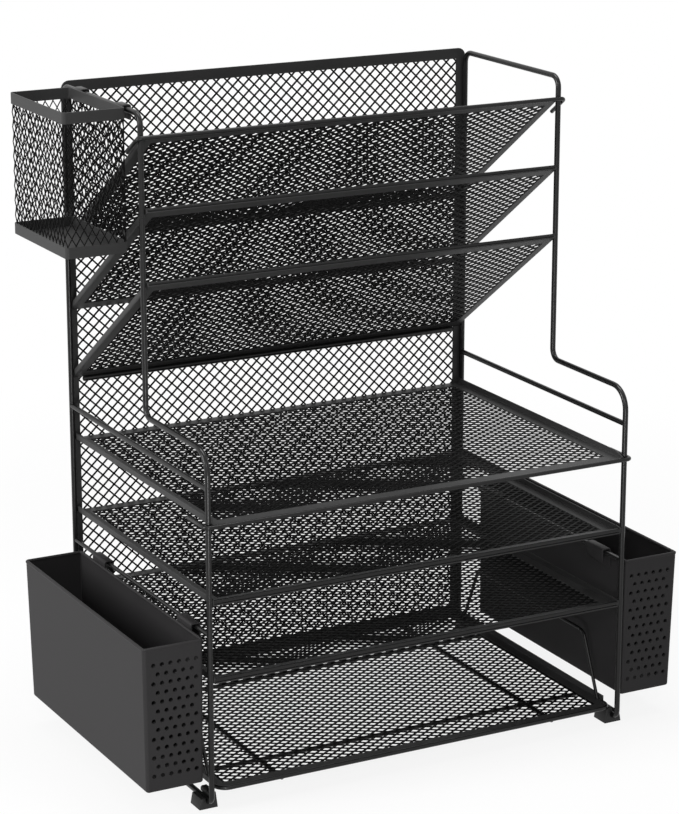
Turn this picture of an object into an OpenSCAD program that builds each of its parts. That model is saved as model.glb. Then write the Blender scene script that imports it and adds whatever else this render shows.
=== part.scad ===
// Desk sorter made of bent wire and framed mesh: three letter trays, three slanted
// file pockets, a pull-out bottom tray, two hanging pen boxes and a hanging pen cup.
// Millimetres, +X right, +Y to the back, +Z up. The origin is on the desk, at the
// middle of the whole object's footprint.

/* [Side frames] */
// Distance between the two side frames, from wire centre to wire centre
frame_w = 330; // [310:1:360]
// Depth from the front wires to the rear wires, centre to centre
frame_d = 230; // [220:1:260]
// Height of the top rails' centre above the desk
top_z = 466; // [462:1:490]
// Height of the shoulders where the frames step back
shoulder_z = 256; // [252:1:266]
// How far the upper stage stands behind the front wires
setback = 98; // [90:1:104]
// Diameter of the side frames' wire
frame_wire_d = 4; // [4:0.1:4.6]
// Bend radius at the front of each shoulder
shoulder_bend_r = 16; // [10:1:20]
// Bend radius of the frames' upper corners
frame_bend_r = 8; // [6:0.5:10]
// Bend radius of the two bottom corners
bottom_bend_r = 5; // [4:0.5:6]
// Height of the bottom rails' centre above the desk
rail_z = 6; // [5.5:0.1:7]
// Height of the guard rails beside the top tray
guard_z = 230.5; // [222:0.5:234]
// Height of the rails that carry the pen boxes
box_rail_z = 127.5; // [124:0.5:131]
// Diameter of the guard rails
guard_rail_d = 3.8; // [3:0.1:3.8]
// Diameter of the box rails and cross bars
rail_d = 3; // [2.6:0.1:3.4]
// Distance of the front cross bar behind the front wires
front_bar_y = 45; // [30:1:60]
// Distance of the rear cross bar behind the front wires
rear_bar_y = 185; // [160:1:195]

/* [Feet] */
// Length of a foot along its rail
foot_l = 15; // [10:1:20]
// Width of a foot's sole
foot_w = 14; // [12:0.5:18]
// Height of a foot's outer cheek
foot_h = 8; // [7.5:0.1:9]
// Height of the barb that snaps over the rail
foot_barb = 3.5; // [2.5:0.1:5]

/* [Sheet and mesh] */
// Thickness of the rim sheets and of the mesh
sheet_t = 1; // [0.8:0.1:1.2]
// Width of the strands between the mesh gaps
strand = 3; // [2:0.1:4]
// Diameter of the wires along the trays' and pockets' front edges
edge_wire_d = 3; // [2.8:0.1:3.6]

/* [Trays] */
// Height of the top tray's sheet
tray_1_z = 205; // [200:0.5:208]
// Distance from each tray down to the next
tray_pitch = 55.8; // [54:0.1:56.5]
// Height of the upturned side lips
lip_h = 4; // [3.5:0.5:6]
// Width of the side and rear bands round the mesh
tray_band = 9; // [7:0.5:11]
// Width of the band behind a tray's front wire
tray_front_band = 11; // [9:0.5:14]
// How far the top tray's wire runs back outside the frames
tray_hook_l = 27; // [20:1:32]
// Mesh gaps across a tray
tray_cols = 14; // [8:1:16]
// Mesh gaps from the front to the back of a tray
tray_rows = 7; // [4:1:8]

/* [Pull-out tray] */
// Gap between the tray's sides and the side frames' wires
drawer_side_gap = 2; // [1.5:0.1:3]
// Gap behind the tray when it is pushed home
drawer_rear_gap = 4; // [2:0.5:6]
// How far its wire runs back along its sides
drawer_end_l = 12; // [10:1:16]
// Width of the band behind its front wire
drawer_front_band = 8; // [7:0.5:12]
// Running gap between the runners and the cross bars
drawer_clear = 0.3; // [0.3:0.05:0.6]
// Bend radius of the tray's front corners
drawer_bend_r = 9; // [8:0.5:12]
// Distance of each runner from the middle
runner_x = 110; // [60:1:135]
// Diameter of the side guards' wire
guard_wire_d = 2.5; // [2:0.1:2.8]
// Height of the side guards above the tray's sheet
guard_h = 47; // [36:1:52]
// How far the guards' legs lean inwards
guard_lean = 21; // [10:1:30]
// Distance of the guards' feet from the tray's ends
guard_inset = 17; // [15:1:30]
// Bend radius of the guards
guard_bend_r = 8; // [5:0.5:12]

/* [File pockets] */
// Distance of the top pocket's front wire below the top rails
pocket_below_top = 15.5; // [13:0.5:20]
// Distance from each pocket down to the next
pocket_pitch = 51; // [48:0.5:53]
// How far a pocket falls from its front wire to the back panel
pocket_drop = 97; // [88:1:98]
// Height of the pockets' side flanges
flange_h = 3; // [2.5:0.5:6]
// Width of the side and top bands round the pockets' mesh
pocket_band = 7; // [6:0.5:9]
// Width of the bottom band round the pockets' mesh
pocket_foot_band = 10; // [8:0.5:14]
// How far the top pocket's wire runs back outside the frames
pocket_hook_l = 21.5; // [15:0.5:22]
// Mesh gaps across a pocket
pocket_cols = 14; // [8:1:16]
// Mesh gaps down a pocket's slope
pocket_rows = 5; // [3:1:6]
// Diameter of the bar under the lowest pocket
rest_bar_d = 4; // [3:0.1:5]
// Length of the bar under the lowest pocket
rest_bar_l = 312; // [280:1:318]

/* [Back panel] */
// How far the panel reaches past the middle of each rear wire
panel_lap = 1; // [0.5:0.1:1.9]
// Height of the panel's lower edge above the desk
panel_bottom_z = 12; // [10:0.5:20]
// How far the panel's top edge stands above the top rails' centre
panel_rise = 3; // [2:0.1:3.4]
// Width of the band round the panel's mesh
panel_band = 8; // [6:0.5:10]
// Corner radius of the panel
panel_corner_r = 6; // [4:0.5:8]
// Mesh gaps across the panel
panel_cols = 10; // [6:1:11]
// Mesh gaps up the panel
panel_rows = 14; // [8:1:14]

/* [Pen boxes] */
// Width of a pen box at its top
box_w = 44.5; // [43:0.5:50]
// Length of a pen box at its top
box_l = 207.5; // [180:0.5:210]
// Height of a pen box
box_h = 105; // [90:1:108]
// Distance of the boxes' front faces behind the front wires
box_front_y = 0.5; // [0.5:0.5:6]
// Gap between a box and its side frame
box_gap = 2.5; // [2:0.1:5]
// Wall thickness of a box
box_wall = 1.5; // [1.2:0.1:2]
// How far the outer walls lean in from top to bottom
box_draft = 2; // [1:0.5:4]
// Radius of the boxes' upright corners
box_corner_r = 2.5; // [2.5:0.1:3]
// Diameter of the rolled bead round a box's top edge
box_bead_d = 2.4; // [2:0.1:3]
// Plain strip beside the perforated front panel
front_margin_x = 0.5; // [0.4:0.1:0.8]
// Plain strip above and below the perforated front panel
front_margin_z = 6; // [4:0.5:10]
// Diameter of the round holes in a box's front
hole_d = 3.2; // [2:0.1:3.4]
// Distance between the holes across the front
hole_pitch_x = 6.3; // [4.6:0.1:6.4]
// Distance between the rows of holes
hole_pitch_z = 6.7; // [5:0.1:7]
// Rows of holes
hole_rows = 13; // [5:1:13]
// Width of a hook along the rail
hook_w = 22; // [15:1:30]
// Depth of a hook's lip below the top of its rail
hook_lip = 8.5; // [6:0.5:10]
// Sheet thickness of the hooks
hook_t = 1.2; // [1:0.1:1.5]
// Gap between a hook and its rail
hook_clear = 0.3; // [0.3:0.05:0.6]
// Distance of the hooks from the ends of a box
box_hook_inset = 20; // [12:1:40]

/* [Pen cup] */
// Width of the cup across the side frame
cup_w = 45.5; // [40:0.5:47]
// Length of the cup along the side frame
cup_l = 95; // [80:1:100]
// Height of the cup
cup_h = 100; // [85:1:110]
// Gap between the cup and the side frame's wire
cup_gap = 1.5; // [1.2:0.1:3]
// Distance of the cup behind the upper stage's front wire
cup_y = 16; // [16:0.5:20]
// How far the cup's rim stands above the top rail's centre
cup_rise = 2.5; // [1:0.5:3]
// Height of the cup's top and bottom bands
cup_band = 8; // [6:0.5:10]
// Radius of the cup's upright corners
cup_corner_r = 5; // [4:0.5:7]
// Mesh gaps along a long wall
cup_cols = 8; // [4:1:9]
// Mesh gaps up a wall
cup_rows = 5; // [3:1:6]
// Width of each of the cup's hooks
cup_hook_w = 12; // [8:1:16]

/* [Hidden] */
$fn = 48;

left = -1;
right = 1;
wire_black = [0.09, 0.09, 0.095];
sheet_black = [0.12, 0.12, 0.125];
mesh_black = [0.16, 0.16, 0.17];
box_grey = [0.2, 0.2, 0.205];
foot_black = [0.05, 0.05, 0.05];

frame_x = frame_w / 2;
frame_r = frame_wire_d / 2;
edge_r = edge_wire_d / 2;
rail_r = rail_d / 2;
// A hooked edge wire turns round the side frame's wire and touches it all the way
edge_bend_r = frame_r + edge_r;
// Inner and outer faces of the side frames
frame_in_x = frame_x - frame_r;
frame_out_x = frame_x + frame_r;

// The footprint reaches from the wires hooked round the front to the back panel
front_reach = frame_r + edge_wire_d;
rear_reach = frame_r + sheet_t;
y_front = -(frame_d + rear_reach - front_reach) / 2;
y_rear = y_front + frame_d;
y_upper = y_front + setback;
y_panel = y_rear + frame_r;
y_tray_wire = y_front - frame_r - edge_r;
y_pocket_wire = y_upper - frame_r - edge_r;
pocket_1_z = top_z - pocket_below_top;

pocket_run = y_panel - y_pocket_wire;
pocket_slope = atan2(pocket_drop, pocket_run);
pocket_slope_l = norm([pocket_run, pocket_drop]);

// The runners lie on cross bars that lie on the bottom rails
bar_z = rail_z + frame_r + rail_r;
runner_z = bar_z + rail_r + drawer_clear + rail_r;
drawer_z = runner_z + rail_r + sheet_t / 2;
drawer_x = frame_in_x - drawer_side_gap;
y_drawer_rear = y_panel - drawer_rear_gap;

// How far a cut reaches past what it cuts
over = 1;

// ---- wires ----

function corner(pts, i) = pts[(i + len(pts)) % len(pts)];
function heading(pts, i) = let (step = corner(pts, i + 1) - corner(pts, i)) step / norm(step);
function turn(pts, i) =
    let (a = heading(pts, i - 1), b = heading(pts, i)) atan2(a[0] * b[1] - a[1] * b[0], a * b);
function is_bend(pts, i, closed) = closed || (i % len(pts) > 0 && i % len(pts) < len(pts) - 1);
function bend_cut(pts, radii, i, closed) =
    is_bend(pts, i, closed) ? radii[i % len(pts)] * tan(abs(turn(pts, i)) / 2) : 0;

// A round wire bent in the XY plane along a list of corners, each with its bend radius.
// Where a bend isn't square, swell thickens it a little and its ends lap the straights.
module bent_wire(pts, radii, d, closed = false, swell = 0) {
    for (i = [0 : len(pts) - (closed ? 1 : 2)]) {
        lap = heading(pts, i) * 2 * swell;
        start = corner(pts, i) + heading(pts, i) * bend_cut(pts, radii, i, closed)
            - (is_bend(pts, i, closed) ? lap : 0 * lap);
        end = corner(pts, i + 1) - heading(pts, i) * bend_cut(pts, radii, i + 1, closed)
            + (is_bend(pts, i + 1, closed) ? lap : 0 * lap);
        translate([start[0], start[1], 0])
            rotate([0, 90, atan2(heading(pts, i)[1], heading(pts, i)[0])])
                cylinder(h = norm(end - start), d = d);
    }
    for (i = [0 : len(pts) - 1]) {
        if (is_bend(pts, i, closed)) {
            angle = turn(pts, i);
            side = sign(angle);
            before = heading(pts, i - 1);
            inward = side * [-before[1], before[0]];
            start = corner(pts, i) - before * bend_cut(pts, radii, i, closed);
            centre = start + inward * radii[i];
            translate([centre[0], centre[1], 0])
                rotate([0, 0, atan2(-inward[1], -inward[0]) + min(angle, 0)])
                    rotate_extrude(angle = abs(angle))
                        translate([radii[i], 0])
                            circle(d = d + swell);
        }
    }
}

// Turns the XY plane into the upright plane that faces sideways
module in_side_plane(x) {
    translate([x, 0, 0])
        rotate([90, 0, 90])
            children();
}

// A wire across the front whose ends run back at x = +-end_x
module edge_wire(end_x, end_l, bend_r) {
    corners = [[-end_x, end_l], [-end_x, 0], [end_x, 0], [end_x, end_l]];
    bent_wire(corners, [0, bend_r, bend_r, 0], edge_wire_d);
}

// ---- side frames ----

module side_frame(side) {
    outline = [[y_front, rail_z], [y_front, shoulder_z], [y_upper, shoulder_z],
        [y_upper, top_z], [y_rear, top_z], [y_rear, rail_z]];
    radii = [bottom_bend_r, shoulder_bend_r, frame_bend_r, frame_bend_r, frame_bend_r, bottom_bend_r];
    color(wire_black)
        in_side_plane(side * frame_x)
            bent_wire(outline, radii, frame_wire_d, closed = true);
}

// A rail from the front wire to the rear wire, with its ends coped to fit round them
module side_rail(side, z, d) {
    color(wire_black)
        difference() {
            translate([side * frame_x, y_front, z])
                rotate([-90, 0, 0])
                    cylinder(h = frame_d, d = d);
            for (y = [y_front, y_rear])
                translate([side * frame_x, y, z - d])
                    cylinder(h = 2 * d, d = frame_wire_d);
        }
}

module cross_bar(y) {
    color(wire_black)
        translate([-frame_x - rail_r, y_front + y, bar_z])
            rotate([0, 90, 0])
                cylinder(h = frame_w + rail_d, d = rail_d);
}

// ---- feet ----

foot_bore_r = frame_r + 0.05;
foot_cheek_in = 0.8;
foot_lean = 1.5;

// Section of a foot across its rail; the outer cheek is on the negative side
module foot_section() {
    difference() {
        polygon([[-foot_w / 2, 0], [foot_w / 2, 0], [foot_w / 2 - foot_lean, foot_h + foot_barb],
            [foot_cheek_in + 1, foot_h + foot_barb], [foot_cheek_in, foot_h + foot_barb - 1],
            [foot_cheek_in, foot_h], [-foot_w / 2 + foot_lean, foot_h]]);
        translate([0, rail_z])
            circle(r = foot_bore_r);
        translate([-foot_bore_r, rail_z])
            square([foot_bore_r + foot_cheek_in, foot_h]);
    }
}

module foot(side, y) {
    color(foot_black)
        translate([side * frame_x, y + foot_l, 0])
            rotate([90, 0, 0])
                linear_extrude(foot_l)
                    mirror([side > 0 ? 1 : 0, 0])
                        foot_section();
}

y_foot_front = y_front + bottom_bend_r;
y_foot_rear = y_rear - bottom_bend_r - foot_l;

// ---- framed mesh ----

// Diamond gaps in staggered rows that fill a w by h field whose lower left corner is the origin
module diamond_gaps(w, h, cols, rows) {
    px = w / cols;
    py = h / rows;
    gap_x = px / 2 - strand * norm([px, py]) / py / 2;
    gap_y = gap_x * py / px;
    gap = [[gap_x, 0], [0, gap_y], [-gap_x, 0], [0, -gap_y]];
    for (i = [0 : cols - 1], j = [0 : rows - 1])
        translate([(i + 0.5) * px, (j + 0.5) * py])
            polygon(gap);
    for (i = [1 : cols - 1], j = [1 : rows - 1])
        translate([i * px, j * py])
            polygon(gap);
}

// A flat mesh w wide and h high, lying in XY and centred on its thickness
module mesh_sheet(w, h, cols, rows) {
    translate([-w / 2, 0, -sheet_t / 2])
        linear_extrude(sheet_t)
            difference() {
                square([w, h]);
                diamond_gaps(w, h, cols, rows);
            }
}

// Outline of a sheet behind an edge wire: narrow between the wire's ends, then full width
module sheet_outline(front_x, full_x, step_y, end_y, corner_r) {
    translate([-front_x + corner_r, edge_r])
        square([2 * (front_x - corner_r), step_y - edge_r]);
    translate([-front_x, edge_r + corner_r])
        square([2 * front_x, step_y - edge_r - corner_r]);
    for (side = [left, right])
        translate([side * (front_x - corner_r), edge_r + corner_r])
            circle(r = corner_r);
    translate([-full_x, step_y])
        square([2 * full_x, end_y - step_y]);
}

// An upright strip along each side of a sheet, from y = from to y = to
module side_lips(full_x, from, to, h) {
    for (x = [-full_x, full_x - sheet_t])
        translate([x, from, -sheet_t / 2])
            cube([sheet_t, to - from, sheet_t + h]);
}

// Where the sheet of a tray or pocket begins: behind the hooked wire of the top one,
// and under the wire of a lower one, which lies on the sheet between the side lips
function sheet_from(index) = index == 0 ? edge_r : 0;

module lying_wire() {
    inner_x = frame_in_x - sheet_t;
    translate([-inner_x, edge_r, sheet_t / 2 + edge_r])
        rotate([0, 90, 0])
            cylinder(h = 2 * inner_x, d = edge_wire_d);
}

// A rim between the side frames, from y = from to y = to, round a w by l window
module frame_wide_rim(from, to, w, l, window_y, lip) {
    translate([0, 0, -sheet_t / 2])
        linear_extrude(sheet_t)
            difference() {
                translate([-frame_in_x, from])
                    square([2 * frame_in_x, to - from]);
                translate([-w / 2, window_y])
                    square([w, l]);
            }
    side_lips(frame_in_x, from, to, lip);
}

// ---- trays ----

function tray_y(index) = index == 0 ? y_tray_wire : y_front - edge_r;
function tray_l(index) = y_panel - tray_y(index);
function tray_mesh_l(index) = tray_l(index) - tray_mesh_y - tray_band;
tray_hook_x = frame_out_x + edge_r;
tray_mesh_w = 2 * (frame_in_x - tray_band);
tray_mesh_y = edge_r + tray_front_band;

module at_tray(index) {
    translate([0, tray_y(index), tray_1_z - index * tray_pitch])
        children();
}

module tray_wire(index) {
    color(wire_black)
        at_tray(index)
            if (index == 0)
                edge_wire(tray_hook_x, tray_hook_l, edge_bend_r);
            else
                lying_wire();
}

module tray_rim(index) {
    color(sheet_black)
        at_tray(index)
            frame_wide_rim(sheet_from(index), tray_l(index), tray_mesh_w, tray_mesh_l(index),
                tray_mesh_y, lip_h);
}

module tray_mesh(index) {
    color(mesh_black)
        at_tray(index)
            translate([0, tray_mesh_y, 0])
                mesh_sheet(tray_mesh_w, tray_mesh_l(index), tray_cols, tray_rows);
}

// ---- pull-out tray ----

drawer_l = y_drawer_rear - y_front;
drawer_end_x = drawer_x - edge_r;
drawer_mesh_w = 2 * (drawer_x - tray_band);
drawer_mesh_y = edge_r + drawer_front_band;
drawer_mesh_l = drawer_l - drawer_mesh_y - tray_band;

module at_drawer() {
    translate([0, y_front, drawer_z])
        children();
}

module drawer_wire() {
    color(wire_black)
        at_drawer()
            edge_wire(drawer_end_x, drawer_end_l, drawer_bend_r);
}

module drawer_rim() {
    color(sheet_black)
        at_drawer() {
            translate([0, 0, -sheet_t / 2])
                linear_extrude(sheet_t)
                    difference() {
                        sheet_outline(drawer_end_x - edge_r, drawer_x, drawer_end_l, drawer_l,
                            drawer_bend_r - edge_r);
                        translate([-drawer_mesh_w / 2, drawer_mesh_y])
                            square([drawer_mesh_w, drawer_mesh_l]);
                    }
            side_lips(drawer_x, drawer_end_l, drawer_l, lip_h);
            translate([-drawer_x + sheet_t, drawer_l - sheet_t, sheet_t / 2])
                cube([2 * (drawer_x - sheet_t), sheet_t, lip_h]);
        }
}

module drawer_mesh() {
    color(mesh_black)
        at_drawer()
            translate([0, drawer_mesh_y, 0])
                mesh_sheet(drawer_mesh_w, drawer_mesh_l, tray_cols, tray_rows);
}

// Two wires under the sheet that slide on the cross bars
module drawer_runners() {
    color(wire_black)
        for (side = [left, right])
            translate([side * runner_x, y_front + edge_r, runner_z])
                rotate([-90, 0, 0])
                    cylinder(h = drawer_l - edge_r, d = rail_d);
}

// A trapezoid of wire whose feet stand on the sheet, just inside the side lip
module drawer_guard(side) {
    guard_x = drawer_x - sheet_t - guard_wire_d / 2;
    z_foot = drawer_z + sheet_t / 2;
    y_first = y_front + guard_inset;
    y_last = y_drawer_rear - guard_inset;
    slant = guard_lean / guard_h;
    outline = [[y_first - guard_wire_d * slant, z_foot - guard_wire_d],
        [y_first + guard_lean, z_foot + guard_h],
        [y_last - guard_lean, z_foot + guard_h],
        [y_last + guard_wire_d * slant, z_foot - guard_wire_d]];
    color(wire_black)
        difference() {
            in_side_plane(side * guard_x)
                bent_wire(outline, [0, guard_bend_r, guard_bend_r, 0], guard_wire_d, swell = 0.02);
            translate([side * guard_x - guard_wire_d, y_front, z_foot - 3 * guard_wire_d])
                cube([2 * guard_wire_d, drawer_l, 3 * guard_wire_d]);
        }
}

// ---- file pockets ----

pocket_hook_x = frame_out_x + edge_r;
pocket_mesh_w = 2 * (frame_in_x - pocket_band);
pocket_mesh_y = edge_r + pocket_band;
pocket_mesh_l = pocket_slope_l - pocket_mesh_y - pocket_foot_band;

// Local +Y runs down the pocket's slope and local +Z stands off its upper face
module at_pocket(index) {
    translate([0, y_pocket_wire, pocket_1_z - index * pocket_pitch])
        rotate([-pocket_slope, 0, 0])
            children();
}

module pocket_wire(index) {
    color(wire_black)
        at_pocket(index)
            if (index == 0)
                edge_wire(pocket_hook_x, pocket_hook_l, edge_bend_r);
            else
                lying_wire();
}

// The rim runs past the panel's face and is trimmed flush with it
module pocket_rim(index) {
    long_l = pocket_slope_l + 4 * flange_h;
    color(sheet_black)
        difference() {
            at_pocket(index)
                frame_wide_rim(sheet_from(index), long_l, pocket_mesh_w, pocket_mesh_l,
                    pocket_mesh_y, flange_h);
            translate([-frame_x, y_panel, 0])
                cube([frame_w, 4 * pocket_foot_band, top_z]);
        }
}

module pocket_mesh(index) {
    color(mesh_black)
        at_pocket(index)
            translate([0, pocket_mesh_y, 0])
                mesh_sheet(pocket_mesh_w, pocket_mesh_l, pocket_cols, pocket_rows);
}

// A round-ended bar that touches the panel and the underside of the lowest pocket
module pocket_rest_bar() {
    rest_r = rest_bar_d / 2;
    y_bar = y_panel - rest_r;
    z_sheet = pocket_1_z - 2 * pocket_pitch - (y_bar - y_pocket_wire) * tan(pocket_slope);
    z_bar = z_sheet - (rest_r + sheet_t / 2) / cos(pocket_slope);
    straight = rest_bar_l - rest_bar_d;
    color(wire_black)
        translate([-straight / 2, y_bar, z_bar])
            rotate([0, 90, 0]) {
                cylinder(h = straight, r = rest_r);
                sphere(r = rest_r);
                translate([0, 0, straight])
                    sphere(r = rest_r);
            }
}

// ---- back panel ----

panel_w = 2 * (frame_x + panel_lap);
panel_h = top_z + panel_rise - panel_bottom_z;
panel_mesh_w = panel_w - 2 * panel_band;
panel_mesh_h = panel_h - 2 * panel_band;

module round_rect(w, h, r) {
    translate([-w / 2 + r, 0])
        square([w - 2 * r, h]);
    translate([-w / 2, r])
        square([w, h - 2 * r]);
    for (x = [-w / 2 + r, w / 2 - r], y = [r, h - r])
        translate([x, y])
            circle(r = r);
}

// Stands the XY plane up behind the rear wires
module at_panel() {
    translate([0, y_panel + sheet_t / 2, panel_bottom_z])
        rotate([90, 0, 0])
            children();
}

module back_panel_rim() {
    color(sheet_black)
        at_panel()
            translate([0, 0, -sheet_t / 2])
                linear_extrude(sheet_t)
                    difference() {
                        round_rect(panel_w, panel_h, panel_corner_r);
                        translate([-panel_mesh_w / 2, panel_band])
                            square([panel_mesh_w, panel_mesh_h]);
                    }
}

module back_panel_mesh() {
    color(mesh_black)
        at_panel()
            translate([0, panel_band, 0])
                mesh_sheet(panel_mesh_w, panel_mesh_h, panel_cols, panel_rows);
}

// ---- pen boxes ----

box_in_x = frame_out_x + box_gap;
box_out_x = box_in_x + box_w;
y_box = y_front + box_front_y;
box_top_z = box_rail_z - 1;
box_bottom_z = box_top_z - box_h;
box_wall_h = box_h - box_bead_d;

// Plan of a box, inset by the draft on its three free sides and by a wall all round
module box_plan(draft, wall) {
    r = box_corner_r - wall;
    for (x = [box_in_x + box_corner_r, box_out_x - draft - box_corner_r],
         y = [y_box + draft + box_corner_r, y_box + box_l - draft - box_corner_r])
        translate([x, y])
            circle(r = r, $fn = 32);
}

// A closed drafted body from the floor up to the bead
module box_body(wall, floor, top) {
    draft_top = box_draft * (1 - box_wall_h / box_h);
    hull() {
        translate([0, 0, box_bottom_z + floor])
            linear_extrude(0.01)
                box_plan(box_draft, wall);
        translate([0, 0, box_bottom_z + box_wall_h + top])
            linear_extrude(0.01)
                box_plan(draft_top, wall);
    }
}

module box_shell() {
    difference() {
        box_body(0, 0, -0.01);
        box_body(box_wall, box_wall, over);
    }
}

// The block of space that the perforated front panel is cut from
module front_window() {
    x = box_in_x + box_corner_r + front_margin_x;
    translate([x, y_box - over, box_bottom_z + front_margin_z])
        cube([box_w - box_draft - 2 * (box_corner_r + front_margin_x), 4 * box_wall,
            box_wall_h - 2 * front_margin_z]);
}

// Hooks folded over a rail, drawn across it: up from the wall, over, and down inside
module hook_section(wall_x, wall_t, rail_x, rail_z, rail_radius, foot_z) {
    in_x = rail_x - rail_radius - hook_clear - hook_t;
    roof_z = rail_z + rail_radius + hook_clear;
    translate([wall_x, foot_z])
        square([wall_t, roof_z - foot_z]);
    translate([in_x, roof_z])
        square([wall_x + wall_t - in_x, hook_t]);
    translate([in_x, rail_z + rail_radius - hook_lip])
        square([hook_t, roof_z - rail_z - rail_radius + hook_lip]);
}

module hook(y, w) {
    translate([0, y + w, 0])
        rotate([90, 0, 0])
            linear_extrude(w)
                children();
}

module mirror_left(side) {
    mirror([side < 0 ? 1 : 0, 0, 0])
        children();
}

// Two hooks on the inner wall, grooved where the bead passes behind them
module box_hooks() {
    difference() {
        for (y = [y_box + box_hook_inset, y_box + box_l - box_hook_inset - hook_w])
            hook(y, hook_w)
                hook_section(box_in_x - hook_t, hook_t, frame_x, box_rail_z, rail_r,
                    box_top_z - box_bead_d - hook_lip);
        translate([box_in_x + box_wall / 2, y_box, box_top_z - box_bead_d / 2])
            rotate([-90, 0, 0])
                cylinder(h = box_l, d = box_bead_d);
    }
}

module pen_box(side) {
    color(box_grey)
        mirror_left(side) {
            difference() {
                box_shell();
                front_window();
            }
            box_hooks();
        }
}

// The flat front, with staggered rows of holes that have one hole less in every second row
module pen_box_front(side) {
    x_mid = box_in_x + (box_w - box_draft) / 2;
    z_mid = box_bottom_z + box_wall_h / 2;
    color(box_grey)
        mirror_left(side)
            difference() {
                intersection() {
                    box_shell();
                    front_window();
                }
                for (row = [0 : hole_rows - 1]) {
                    count = row % 2 == 0 ? 6 : 5;
                    for (i = [0 : count - 1])
                        translate([x_mid + (i - (count - 1) / 2) * hole_pitch_x, y_box - over,
                            z_mid + (row - (hole_rows - 1) / 2) * hole_pitch_z])
                            rotate([-90, 0, 0])
                                cylinder(h = 4 * box_wall, d = hole_d, $fn = 24);
                }
            }
}

// The rolled edge that closes the top of the walls
module pen_box_bead(side) {
    inset = box_wall / 2;
    r = box_corner_r - inset;
    x = [box_in_x + inset, box_out_x - inset];
    y = [y_box + inset, y_box + box_l - inset];
    corners = [[x[0], y[0]], [x[1], y[0]], [x[1], y[1]], [x[0], y[1]]];
    color(box_grey)
        mirror_left(side)
            translate([0, 0, box_top_z - box_bead_d / 2])
                bent_wire(corners, [r, r, r, r], box_bead_d, closed = true);
}

// ---- pen cup ----

cup_in_x = frame_out_x + cup_gap;
y_cup = y_upper + cup_y;
cup_top_z = top_z + cup_rise;
cup_bottom_z = cup_top_z - cup_h;
cup_net_h = cup_h - 2 * cup_band;
cup_flat_w = cup_w - 2 * cup_corner_r;
cup_flat_l = cup_l - 2 * cup_corner_r;
cup_short_cols = 4;

// Places what is drawn from the cup's inner front corner, on the left side of the object
module at_cup(z) {
    mirror([1, 0, 0])
        translate([cup_in_x, y_cup, z])
            children();
}

module cup_ring(inset) {
    translate([cup_w / 2, inset])
        round_rect(cup_w - 2 * inset, cup_l - 2 * inset, cup_corner_r - inset);
}

module cup_band_ring() {
    linear_extrude(cup_band)
        difference() {
            cup_ring(0);
            cup_ring(sheet_t);
        }
}

module cup_rim() {
    color(sheet_black)
        at_cup(cup_top_z - cup_band)
            cup_band_ring();
}

module cup_base() {
    color(sheet_black)
        at_cup(cup_bottom_z) {
            cup_band_ring();
            linear_extrude(sheet_t)
                cup_ring(sheet_t / 2);
        }
}

// A flat stretch of wall mesh that starts at the origin and runs along +X
module cup_net(l, cols) {
    translate([l / 2, sheet_t / 2, 0])
        rotate([90, 0, 0])
            mesh_sheet(l, cup_net_h, cols, cup_rows);
}

module cup_corner(x, y, angle) {
    translate([x, y, 0])
        rotate([0, 0, angle])
            rotate_extrude(angle = 90)
                translate([cup_corner_r - sheet_t, 0])
                    square([sheet_t, cup_net_h]);
}

// A short wall and the two upright corners that it turns into
module cup_end_wall(y, corner_y, angles) {
    translate([cup_corner_r, y, 0])
        cup_net(cup_flat_w, cup_short_cols);
    cup_corner(cup_corner_r, corner_y, angles[0]);
    cup_corner(cup_w - cup_corner_r, corner_y, angles[1]);
}

module cup_mesh_front() {
    color(mesh_black)
        at_cup(cup_bottom_z + cup_band)
            cup_end_wall(0, cup_corner_r, [180, 270]);
}

module cup_mesh_rear() {
    color(mesh_black)
        at_cup(cup_bottom_z + cup_band)
            cup_end_wall(cup_l - sheet_t, cup_l - cup_corner_r, [90, 0]);
}

module cup_long_wall(x) {
    color(mesh_black)
        at_cup(cup_bottom_z + cup_band)
            translate([x + sheet_t, cup_corner_r, 0])
                rotate([0, 0, 90])
                    cup_net(cup_flat_l, cup_cols);
}

module cup_hooks() {
    inset = cup_corner_r + 1;
    color(sheet_black)
        mirror([1, 0, 0])
            for (y = [y_cup + inset, y_cup + cup_l - inset - cup_hook_w])
                hook(y, cup_hook_w)
                    hook_section(cup_in_x - hook_t, hook_t, frame_x, top_z, frame_r,
                        cup_top_z - cup_band);
}

// ---- the sorter ----

side_frame(left);  // side_frame_left
side_frame(right);  // side_frame_right
side_rail(left, guard_z, guard_rail_d);  // guard_rail_left
side_rail(right, guard_z, guard_rail_d);  // guard_rail_right
side_rail(left, box_rail_z, rail_d);  // box_rail_left
side_rail(right, box_rail_z, rail_d);  // box_rail_right
cross_bar(front_bar_y);  // cross_bar_front
cross_bar(rear_bar_y);  // cross_bar_rear
foot(left, y_foot_front);  // foot_front_left
foot(right, y_foot_front);  // foot_front_right
foot(left, y_foot_rear);  // foot_rear_left
foot(right, y_foot_rear);  // foot_rear_right
back_panel_rim();
back_panel_mesh();
pocket_rest_bar();
pocket_wire(0);  // pocket_1_wire
pocket_rim(0);  // pocket_1_rim
pocket_mesh(0);  // pocket_1_mesh
pocket_wire(1);  // pocket_2_wire
pocket_rim(1);  // pocket_2_rim
pocket_mesh(1);  // pocket_2_mesh
pocket_wire(2);  // pocket_3_wire
pocket_rim(2);  // pocket_3_rim
pocket_mesh(2);  // pocket_3_mesh
tray_wire(0);  // tray_1_wire
tray_rim(0);  // tray_1_rim
tray_mesh(0);  // tray_1_mesh
tray_wire(1);  // tray_2_wire
tray_rim(1);  // tray_2_rim
tray_mesh(1);  // tray_2_mesh
tray_wire(2);  // tray_3_wire
tray_rim(2);  // tray_3_rim
tray_mesh(2);  // tray_3_mesh
drawer_wire();
drawer_rim();
drawer_mesh();
drawer_runners();
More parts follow.
